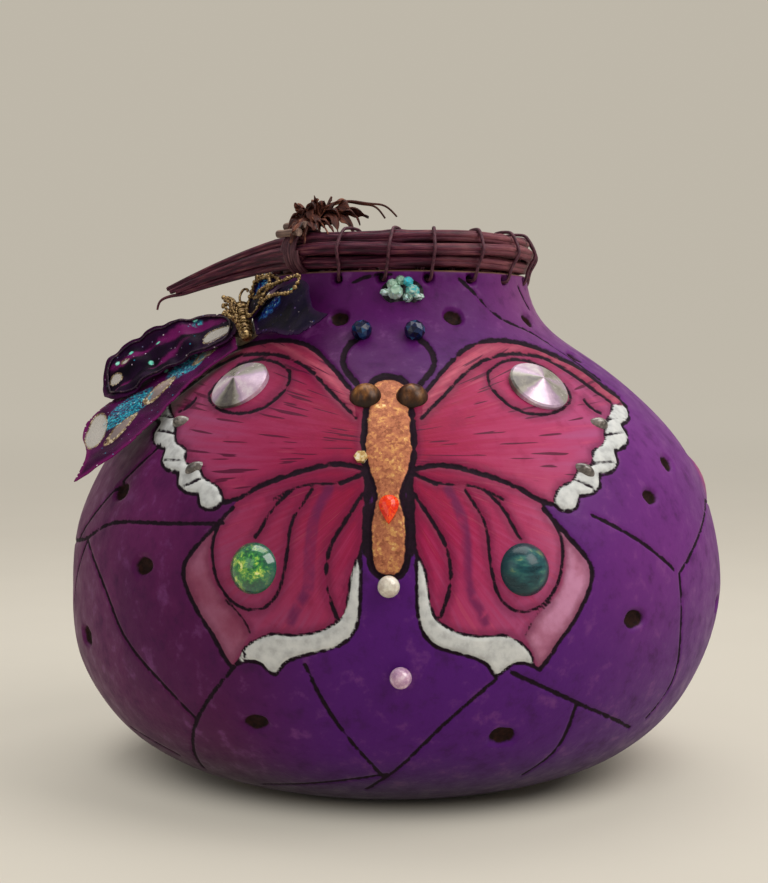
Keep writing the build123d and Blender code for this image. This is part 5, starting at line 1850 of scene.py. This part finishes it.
@dataclass
class ClothButterfly:
    """Wired cloth butterfly with bendable wings."""

    origin: Triple = (-47.0374, -22.1042, 140.2833)
    side: Triple = (0.9065, -0.0383, 0.4200)
    out: Triple = (-0.3933, -0.4368, 0.8090)
    left_turn: float = 2.938
    right_turn: float = 24.0
    root: float = 3.6
    net_step: float = 0.7
    cloth: float = 0.24
    curl: float = 4.6
    fore_level: float = 0.55
    hind_level: float = -0.5
    left_fore: Pair = (47.0, 21.0)
    left_hind: Triple = (56.0, 60.0, 41.0)
    right_fore: Pair = (17.0, 13.0)
    right_hind: Triple = (26.0, 30.0, 43.0)
    body_beads: int = 5
    bead_step: float = 4.0

    # Loops of beads over the body: first and last place along it, reach to the side, height
    body_loops: tuple[tuple[float, ...], ...] = (
        (9.0, 2.0, -0.8, 5.0), (7.4, -1.0, -3.4, 5.8), (4.6, -4.0, -1.0, 5.6), (2.0, -6.4, -3.6, 6.0),
        (-1.6, -8.4, -0.6, 4.8), (9.4, 5.0, -2.6, 6.6), (8.0, 0.0, -1.6, 7.0), (0.0, -8.0, -2.4, 6.6),
    )

    # Loops of beads over the right wing, in its own frame
    right_loops: tuple[tuple[Triple, ...], ...] = (
        ((6.6, 3, 0.8), (10.5, 1, 2.8), (16, -4, 3.4), (22, -10, 3.2), (26, -16, 2.8), (23.5, -18.5, 2.8),
         (18, -13.5, 3.0), (12, -6.5, 2.6), (7.4, -1, 0.8)),
        ((6.8, 6, 0.8), (9.5, 8.5, 2.4), (13.5, 6, 3.0), (15.5, 1, 2.8), (12.5, -1.5, 2.4), (8.5, 2, 1.6)),
    )

    def axes(self, turn: float) -> tuple[Rows, Rows, Rows]:
        """Directions of a wing's plane.

        Args:
            turn: fold about the body, degrees.

        Returns:
            Its x, y and z directions.
        """
        out = np.array(self.out) / np.linalg.norm(self.out)
        side = np.array(self.side) - out * (np.array(self.side) @ out)
        side /= np.linalg.norm(side)
        head = np.cross(out, side)
        bend = math.radians(turn)
        return (side * math.cos(bend) + out * math.sin(bend), head,
                out * math.cos(bend) - side * math.sin(bend))

    def spread(self, turn: float, x: Rows, y: Rows, z: Rows) -> Rows:
        """Places given in a wing's own frame.

        Args:
            turn: fold about the body, degrees.
            x, y, z: own coordinates.

        Returns:
            The places, one row each.
        """
        side, head, out = self.axes(turn)
        return np.array(self.origin) + x[:, None] * side + y[:, None] * head + z[:, None] * out

    def fore_outline(self, side: int, span: float, chord: float, inset: float = 1.0) -> Rows:
        """Outline of a forewing.

        Args:
            side: -1 for the left wing, 1 for the right one.
            span, chord: its size.
            inset: share of the size kept about its middle.

        Returns:
            The outline's samples.
        """
        reach = span - self.root
        rows = (
            (self.root, -0.25), (self.root, 0.45), (self.root + 0.30 * reach, 0.63),
            (self.root + 0.62 * reach, 0.72), (span, 0.36),
            (self.root + 0.97 * reach, -0.28), (self.root + 0.45 * reach, -0.34),
        )
        middle = np.array([(self.root + span) / 2, 0.18 * chord])
        points = middle + inset * (np.array([(x, y * chord) for x, y in rows]) - middle)
        return smooth(points * (side, 1.0), 120, closed=True)

    def hind_outline(self, side: int, span: float, tail: float, depth: float) -> Rows:
        """Outline of a hindwing with its tail.

        Args:
            side: -1 for the left wing, 1 for the right one.
            span: reach of the wing.
            tail, depth: reach and depth of the tail.

        Returns:
            The outline's samples.
        """
        upper = smooth([(self.root, 0.02 * depth), (0.55 * span, -0.02 * depth), (span, -0.34 * depth),
                        (0.985 * span, -0.72 * depth), (tail, -depth)], 70)
        lower = smooth([(tail, -depth), (0.72 * span, -0.86 * depth), (0.30 * span, -0.42 * depth),
                        (self.root, -0.30 * depth)], 60)
        return np.vstack([upper, lower[1:]]) * (side, 1.0)

    def lift(self, x: Rows, y: Rows, reach: float, level: float, seed: int) -> Rows:
        """Height of the soft cloth over its wing's plane.

        Args:
            x, y: places in the plane.
            reach: span of the wing.
            level: height of the layer at its root.
            seed: which wing it is.

        Returns:
            One height for each place.
        """
        crumple = 0.65 * np.sin(0.21 * x + 0.33 * y + seed) * np.sin(0.17 * y - 0.12 * x + 2 * seed)
        crumple += 0.4 * np.sin(0.47 * x - 0.31 * y + seed) * np.sin(0.29 * x + 0.41 * y + 3 * seed)
        crumple += 0.12 * np.sin(0.9 * x + 0.5 * y) * np.sin(0.8 * y - 0.6 * x + seed)
        loose = np.clip((np.abs(x) - self.root) / min(reach, 42.0) * 3, 0, 1)
        if level < 0:
            return level + (crumple + 0.5) * loose * 0.5
        rolled = self.curl * np.clip((y - 1.0) / 14.0, 0.0, 1.0) ** 1.6
        return level + (1.7 * (crumple + 0.5) + rolled) * loose

    def wing(self, name: str, outline: Rows, turn: float, level: float, seed: int,
             drawing: WingCloth) -> tuple[Piece, float, Pair]:
        """One layer of a wing, cut to its outline and softly crumpled.

        Args:
            name: name of the piece.
            outline: its cut edge.
            turn: fold about the body, degrees.
            level: height over the wing's plane.
            seed: which wing it is.
            drawing: what is drawn on it.

        Returns:
            The cloth, its area and its flat size in millimetres.
        """
        low, high = outline.min(axis=0) - 1.0, outline.max(axis=0) + 1.0
        counts = np.ceil((high - low) / self.net_step).astype(int)
        piece, across, along = Bench.net(name, int(counts[0]), int(counts[1]))
        flat = low + np.column_stack([across, along]) * (high - low)
        gap = signed_distance(flat, outline)
        keep = gap < 0.45 * self.net_step
        ahead = np.roll(outline, -1, axis=0) - outline
        dense = np.vstack([outline + ahead * share for share in (0.0, 0.25, 0.5, 0.75)])
        for index in np.where(keep & (gap > -0.75 * self.net_step))[0]:
            flat[index] = dense[np.argmin(((dense - flat[index]) ** 2).sum(axis=1))]
        x, y = flat.T
        reach = float(np.abs(outline[:, 0]).max())
        Bench.move(piece, self.spread(turn, x, y, self.lift(x, y, reach, level, seed)))
        Bench.mark(piece, "cloth_at", np.column_stack([x, y, np.full(len(x), seed * 20.0)]))
        Bench.mark(piece, "edge", np.maximum(-gap, 0.0))
        drawing.mark(piece, flat)
        Bench.pick(piece, False, ~keep)
        bpy.ops.mesh.delete(type="VERT")
        Bench.close(0.02)
        area = sum(face.area for face in piece.data.polygons) / MM ** 2
        Bench.thicken(piece, self.cloth, 0.0)
        Bench.shade(piece, 60.0)
        wide, long = map(float, np.ptp(outline, axis=0))
        return piece, area, (wide, long)

    @staticmethod
    def cloth_material(name: str, base: Sequence[Triple], glitter: Sequence[Triple]) -> bpy.types.Material:
        """Dark cloth with glitter patches, gold-lined cells and clear ovals.

        Args:
            name: name of the material.
            base: dark and middle paints of the cloth, and the lighter paint along its cut edge, a painted
                sheen.
            glitter: dark, middle and bright paints of the glitter.

        Returns:
            The finished material.
        """
        graph = Graph(name)
        place = graph.attribute("cloth_at", "Vector")
        broad = graph.noise(place, 0.075, 3.0)
        rag = graph.waver(graph.noise(place, 0.5, 3.0), 2.4)
        weave = graph.noise(graph.stretched(place, (1.0, 3.0, 1.0)), 2.4, 2.0)
        red, green, _ = graph.split(graph.cells(place, 1.7))
        dot = graph.span(graph.cells(place, 1.7, "Distance"), 0.46, 0.34)
        dark, middle, edge = (paint(*tone) for tone in base)

        def within(name: str, soft: float = 0.2, ragged: Feed = 0.0) -> Socket:
            """How far each place is inside what is drawn, from 0 to 1."""
            return graph.span(graph.plus(graph.attribute(name), ragged), soft, -soft)

        colour = graph.mix(graph.span(broad, 0.38, 0.6), dark, middle)
        colour = graph.mix(graph.span(weave, 0.4, 0.66, 0.0, 0.4), colour, dark)
        # Painted sheen: the cloth turns lighter along its cut edge
        colour = graph.mix(graph.span(graph.attribute("edge"), 2.0, 0.5, 0.0, 0.85), colour, edge)
        streak = graph.mix(weave, paint(70, 10, 62), paint(134, 26, 104))
        colour = graph.mix(graph.times(within("streak", 0.9, rag), 0.85), colour, streak)
        clear = within("clear")
        gauze = graph.mix(graph.span(weave, 0.4, 0.6), paint(152, 146, 142), paint(186, 180, 174))
        colour = graph.mix(clear, colour, gauze)
        sand = graph.mix(graph.span(broad, 0.4, 0.6), paint(126, 112, 110), paint(158, 140, 132))
        colour = graph.mix(within("cell"), colour, sand)
        patch = graph.times(within("glitter", 0.5, rag), graph.span(red, 0.12, 0.2))
        shine = graph.times(patch, graph.plus(graph.times(dot, 0.5), 0.5))
        colour = graph.mix(shine, colour, graph.ramp(green, (
            (0.0, *glitter[0]), (0.5, *glitter[1]), (0.92, *glitter[2]), (1.0, 190, 240, 240),
        )))
        # Painted glints: scattered bright dots over the cloth
        painted_glints = graph.times(graph.span(red, 0.972, 0.98), dot)
        colour = graph.mix(painted_glints, colour, graph.ramp(green, (
            (0.0, *glitter[1]), (0.5, 150, 110, 150), (1.0, 220, 210, 214),
        )))
        near_cell = graph.math("ABSOLUTE", graph.attribute("cell"))
        near_clear = graph.plus(graph.math("ABSOLUTE", graph.attribute("clear")), 0.25)
        lined = graph.span(graph.math("MINIMUM", near_cell, near_clear), 0.62, 0.36)
        lined = graph.times(lined, graph.span(red, 0.2, 0.3))
        colour = graph.mix(lined, colour, graph.ramp(green, (
            (0.0, 94, 74, 52), (0.6, 150, 128, 94), (1.0, 220, 204, 170),
        )))
        spark = graph.span(graph.attribute("spark"), 1.0, 0.5)
        colour = graph.mix(spark, colour, graph.ramp(green, ((0.0, 60, 190, 160), (1.0, 170, 240, 220))))
        graph.put(Base_Color=colour, Metallic=graph.times(graph.math("MAXIMUM", patch, lined), 0.15),
                  Roughness=graph.span(weave, 0.3, 0.7, 0.36, 0.54), Specular_IOR_Level=0.05,
                  Alpha=graph.span(clear, 0.0, 1.0, 1.0, 0.4))
        graph.bump(weave, 0.4, 0.15)
        return graph.material

    @staticmethod
    def strand(name: str, path: Rows, closed: bool, wire: float, bead: float, step: float) -> Piece:
        """Wire with small beads threaded on it.

        Args:
            name: name of the piece.
            path: where the wire goes.
            closed: whether it runs back to its start.
            wire: radius of the wire.
            bead: radius of a bead, or nothing for a bare wire.
            step: distance between beads.

        Returns:
            The beaded wire.
        """
        made = [Bench.tube(name, path, wire, 8, closed)]
        run = np.linalg.norm(np.diff(path, axis=0), axis=1).cumsum()
        for order in range(int(run[-1] / step) if bead > 0.0 else 0):
            centre = path[int(np.searchsorted(run, order * step))]
            radius = bead * (1.0 + 0.2 * math.sin(order * 1.9)) * MM
            ball = Bench.start("bead", bpy.ops.mesh.primitive_ico_sphere_add, subdivisions=2, radius=radius)
            ball.data.transform(Matrix.Translation(Vector(centre) * MM))
            bpy.ops.object.shade_smooth()
            made.append(ball)
        return Bench.join(name, made)

    def wire(
        self, name: str, side: int, span: float, chord: float, turn: float, bead: float, seed: int
    ) -> Piece:
        """Shaping wire of a forewing, bent with its cloth.

        Args:
            name: name of the piece.
            side: -1 for the left wing, 1 for the right one.
            span, chord: size of the forewing.
            turn: fold about the body, degrees.
            bead: radius of its beads, or nothing for a bare wire.
            seed: which wing it is.

        Returns:
            The wire.
        """
        x, y = self.fore_outline(side, span, chord, 0.9).T
        path = self.spread(turn, x, y, self.lift(x, y, span, self.fore_level, seed) + 0.5)
        return self.strand(name, path, True, 0.3, bead, 2.3 * max(bead, 0.1))

    def girth_at(self, along: Number) -> Number:
        """Radius of the body's beads at a place along it."""
        return 3.2 - 0.36 * (8.0 - along) / self.bead_step

    def body(self) -> Piece:
        """Beads of the body, wound with wire and dressed with loops of small beads.

        Returns:
            The body.
        """
        made = []
        x, head, z = self.axes(0.0)
        frame = Matrix((x, head, z)).transposed().to_4x4()
        for order in range(self.body_beads):
            place = 8.0 - self.bead_step * order
            radius = self.girth_at(place)
            ball = bpy.ops.mesh.primitive_ico_sphere_add
            bead = Bench.start(f"body_bead_{order}", ball, subdivisions=3, radius=radius * MM)
            Bench.edit(bead)
            Bench.narrow(1.0, 2.15 / radius)
            Bench.close()
            centre = np.array(self.origin) + head * place
            bead.data.transform(Matrix.Translation(Vector(centre) * MM) @ frame)
            Bench.shade(bead, 60.0)
            made.append(bead)
        turns = np.linspace(0.0, TURN * 13, 300)
        along = 9.4 - 18.6 * turns / turns[-1]
        ripple = self.girth_at(along) - 0.33 * np.abs(np.sin((along + 2.0) * np.pi / self.bead_step)) ** 0.5
        coil = self.spread(0.0, ripple * np.cos(turns), along, ripple * np.sin(turns))
        made.append(Bench.tube("body_wire", coil, 0.32, 6))
        for order, (first, last, wide, high) in enumerate(self.body_loops):
            bend = smooth([
                (-0.4, first, 2.2), (wide * 0.8, first * 0.75 + last * 0.25, high),
                (wide, (first + last) / 2, high + 0.8),
                (wide * 0.6, first * 0.25 + last * 0.75, high), (-0.5, last, 2.0),
            ], 60)
            made.append(self.strand(f"bead_loop_{order}", self.spread(0.0, *bend.T), False, 0.25, 0.62, 1.5))
        return Bench.join("beaded_body", made)

    def feelers(self) -> Piece:
        """Two wire antennae with rolled ends.

        Returns:
            The antennae.
        """
        made = []
        for side, _ in SIDES:
            x, y, z = smooth([
                (side * 0.9, 10.3, 0.0), (side * 1.0, 14.6, 1.8), (side * 2.2, 17.0, 2.2),
                (side * 3.4, 18.05, 2.0), (side * 4.0, 17.6, 1.6), (side * 3.6, 17.1, 1.4),
            ], 40).T
            made.append(Bench.tube(f"feeler_{side}", self.spread(0.0, x, y, z), 0.4, 8))
        return Bench.join("wire_feelers", made)

    def wings(self) -> None:
        """Make the four layers of cloth and fit them in place of their nodes."""
        dark = self.cloth_material(
            "dark_cloth", ((9, 4, 15), (36, 8, 42), (52, 8, 48)),
            ((0, 66, 92), (0, 112, 140), (40, 178, 190)))
        plum = self.cloth_material(
            "plum_cloth", ((46, 6, 42), (80, 12, 70), (104, 16, 82)),
            ((0, 88, 118), (6, 146, 178), (60, 200, 214)))
        navy = self.cloth_material(
            "navy_cloth", ((6, 2, 18), (19, 5, 42), (40, 9, 54)),
            ((10, 30, 120), (20, 60, 170), (60, 150, 200)))
        fore = WingCloth(
            glitter=(Spot(-13.5, 10.5, 1.6, 1.2),),
            clear=(Spot(-8.6, 0.2, 4.6, 2.9, 12.0), Spot(-43.0, 3.6, 2.2, 1.6), Spot(-38.5, 8.0, 1.3, 1.0)),
            streak=(Spot(-17.0, 8.6, 12.0, 2.3, -6.0), Spot(-36.0, 8.6, 7.0, 1.6, 10.0),
                    Spot(-25.0, 1.6, 6.0, 1.3, 16.0), Spot(-42.0, -1.6, 3.4, 1.6, 30.0)),
            sparks=((-31.0, 3.4), (-14.0, 12.0), (-36.0, 10.6), (-41.0, 9.0), (-27.0, 9.0)))
        hind = WingCloth(
            glitter=(Spot(-40.5, -15.0, 9.6, 5.6, 32.0), Spot(-20.5, -7.4, 7.0, 4.6, 20.0)),
            cell=(Spot(-43.5, -24.5, 6.0, 2.2, 38.0), Spot(-30.0, -13.5, 5.6, 2.5, 30.0),
                  Spot(-13.5, -6.0, 4.4, 1.8, 24.0)),
            clear=(Spot(-51.6, -18.4, 3.5, 9.0, -8.0),), sparks=((-27.0, -4.0),))
        right_fore = WingCloth(glitter=(Spot(11.0, 4.6, 3.6, 2.4),))
        right_hind = WingCloth(glitter=(Spot(11.0, -7.0, 5.0, 3.0, -20.0),), sparks=((20.0, -10.0),))
        left, right = (self.left_turn, "left_wings"), (self.right_turn, "right_wings")
        front, rear = (self.fore_level, "dark_cloth"), (self.hind_level, "plum_cloth")
        for seed, (node, outline, (turn, body), (level, slot), drawing, cloth) in enumerate((
            ("left_forewing", self.fore_outline(-1, *self.left_fore), left, front, fore, dark),
            ("left_hindwing", self.hind_outline(-1, *self.left_hind), left, rear, hind, plum),
            ("right_forewing", self.fore_outline(1, *self.right_fore), right, front, right_fore, navy),
            ("right_hindwing", self.hind_outline(1, *self.right_hind), right, rear, right_hind, navy),
        ), 1):
            piece, area, (wide, long) = self.wing(f"{node}_cloth", outline, turn, level, seed, drawing)
            fit(piece, body, slot, cloth, node)

    def build(self, nodes: dict[str, Piece]) -> None:
        """Make the butterfly and fit its pieces in place of their nodes.

        Args:
            nodes: objects of the frame by node name.
        """
        gilt = Finish("gold_wire", ((0.0, 62, 44, 26), (0.5, 124, 96, 58), (1.0, 206, 178, 124)),
                      scale=1.2, roughness=(0.25, 0.45), bump=0.3, bump_depth=0.1, metallic=0.75)
        bronze = Finish("dark_wire", ((0.0, 20, 8, 24), (0.6, 46, 20, 46), (1.0, 96, 70, 76)),
                        scale=1.0, roughness=(0.3, 0.5), bump=0.2, bump_depth=0.1, metallic=0.6)
        glue = Finish("glue", ((0.0, 90, 72, 56), (0.5, 124, 104, 82), (1.0, 160, 142, 118)),
                      roughness=(0.25, 0.45), bump=0.2, coat=0.3)
        setting = Finish("dark_setting", ((0.0, 16, 14, 18), (0.5, 34, 30, 36), (1.0, 82, 76, 80)),
                         roughness=(0.25, 0.45), bump=0.3, metallic=0.8)
        chip = Finish("gold_crystal", ((0.0, 172, 122, 62), (0.5, 232, 196, 124), (1.0, 255, 248, 224)),
                      scale=0.8, roughness=(0.1, 0.2), bump=0.1, metallic=0.4, coat=1.0)
        self.wings()
        hoop = self.wire("left_shaping_wire", -1, *self.left_fore, self.left_turn, 0.0, 1)
        bronze.dress(hoop, "left_wing_wire", "left_wings", "gold_wire")
        made = [self.wire("right_hoop", 1, *self.right_fore, self.right_turn, 0.7, 3)]
        for order, points in enumerate(self.right_loops):
            path = self.spread(self.right_turn, *smooth(points, 120, True).T)
            made.append(self.strand(f"bead_loop_right_{order}", path, True, 0.25, 0.66, 1.55))
        gilt.dress(Bench.join("right_beaded_wire", made), "right_wing_wire", "right_wings")
        gilt.dress(self.body(), "ornament_body")
        gilt.dress(self.feelers(), "ornament_antennae")
        for name, finish in (("ornament_pad", glue), ("cluster_setting", setting), ("accent_crystal", chip)):
            nodes[name].data.materials.clear()
            nodes[name].data.materials.append(finish.build())
            LOG.info("%s keeps its shape and is finished as %s", name, finish.name)


@dataclass
class Studio:
    """Floor, backdrop, light and camera."""

    camera_at: Triple = (-0.0047, -0.600, 0.150)
    camera_tilt: float = 85.52
    lens: float = 89.72
    ground: Colour = paint(210, 203, 190)
    backdrop: Colour = paint(190, 183, 169)
    floor_tone: float = 0.5

    def sweep(self) -> None:
        """Seamless floor that curves up into the backdrop."""
        curve = ((0.0, 2.6, 2.4), (0.0, 2.6, 0.9), (0.0, 2.52, 0.42), (0.0, 2.25, 0.12), (0.0, 1.8, 0.0))
        points = [tuple(row / MM) for row in smooth(curve, 40)] + [(0.0, -2200.0, 0.0)]
        piece = Bench.chain("floor_sweep", points)
        Bench.edit(piece)
        bpy.ops.transform.translate(value=(-3.0, 0.0, 0.0))
        bpy.ops.mesh.extrude_region_move(TRANSFORM_OT_translate={"value": (6.0, 0.0, 0.0)})
        Bench.close()
        Bench.shade(piece, 60.0)
        graph = Graph("paper_sweep")
        place = graph.millimetres()
        tone = graph.noise(place, 0.02, 3.0)
        paper = graph.mix(graph.span(tone, 0.3, 0.7, 0.0, 0.3), self.ground, paint(204, 197, 184))
        across, deep, _ = graph.split(place)
        back = graph.math("SUBTRACT", deep, 30.0)
        reach = graph.math("SQRT", graph.plus(graph.times(across, across), graph.times(back, back)))
        far = graph.times(
            graph.span(deep, 250.0, 1500.0, self.floor_tone, 1.0), graph.span(reach, 74.0, 106.0)
        )
        rays = graph.node("LightPath", {}).outputs
        mirrored = graph.math("MAXIMUM", rays["Is Glossy Ray"], rays["Is Transmission Ray"])
        seen = graph.times(graph.math("MAXIMUM", rays["Is Camera Ray"], mirrored), far)
        near = graph.span(deep, 600.0, 150.0)
        graph.put(Base_Color=graph.mix(seen, paper, (0.0, 0.0, 0.0, 1.0)),
                  Roughness=0.9, Specular_IOR_Level=0.1,
                  Emission_Color=graph.mix(near, self.backdrop, paint(214, 207, 192)), Emission_Strength=seen)
        piece.data.materials.append(graph.material)

    @staticmethod
    def lamp(name: str, place: Triple, aim: Triple, size: float, power: float, colour: Triple) -> None:
        """One soft lamp.

        Args:
            name: name of the lamp.
            place: where it stands, metres.
            aim: what it points at, metres.
            size: side of the lamp, metres.
            power: strength in watts.
            colour: tint.
        """
        Bench.clear()
        bpy.ops.object.light_add(type="AREA", location=place)
        lamp = bpy.context.object
        lamp.name = name
        lamp.data.size = size
        lamp.data.energy = power
        lamp.data.color = colour
        lamp.rotation_euler = (Vector(aim) - Vector(place)).to_track_quat("-Z", "Y").to_euler()

    def build(self) -> None:
        """Set up the studio."""
        self.sweep()
        middle = (0.0, 0.0, 0.08)
        self.lamp("key", (0.85, -0.5, 1.0), middle, 0.85, 11.0, (1.0, 0.97, 0.93))
        self.lamp("fill", (-0.8, -1.0, 0.7), middle, 0.9, 2.4, (0.97, 0.98, 1.0))
        self.lamp("top", (0.1, 0.25, 1.3), middle, 1.0, 9.0, (1.0, 0.98, 0.96))
        world = bpy.data.worlds.new("studio") if bpy.context.scene.world is None else bpy.context.scene.world
        bpy.context.scene.world = world
        world.use_nodes = True
        back = next(node for node in world.node_tree.nodes if node.type == "BACKGROUND")
        back.inputs[0].default_value = (0.92, 0.90, 0.87, 1.0)
        back.inputs[1].default_value = 0.42
        Bench.clear()
        bpy.ops.object.camera_add(
            location=self.camera_at, rotation=(math.radians(self.camera_tilt), 0.0, 0.0)
        )
        camera = bpy.context.object
        camera.name = "photo_camera"
        camera.data.sensor_fit = "HORIZONTAL"
        camera.data.sensor_width = 36.0
        camera.data.lens = self.lens
        camera.data.clip_start = 0.01
        bpy.context.scene.camera = camera
        bpy.context.scene.view_settings.view_transform = "Standard"


def main() -> None:
    """Load the frame and dress it."""
    logging.basicConfig(level=logging.INFO)
    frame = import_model()
    Bench.clear()
    Studio().build()
    GourdSkin().build()
    StemRim().build()
    Stones().build()
    ClothButterfly().build(frame["nodes"])


if __name__ == "__main__":
    main()
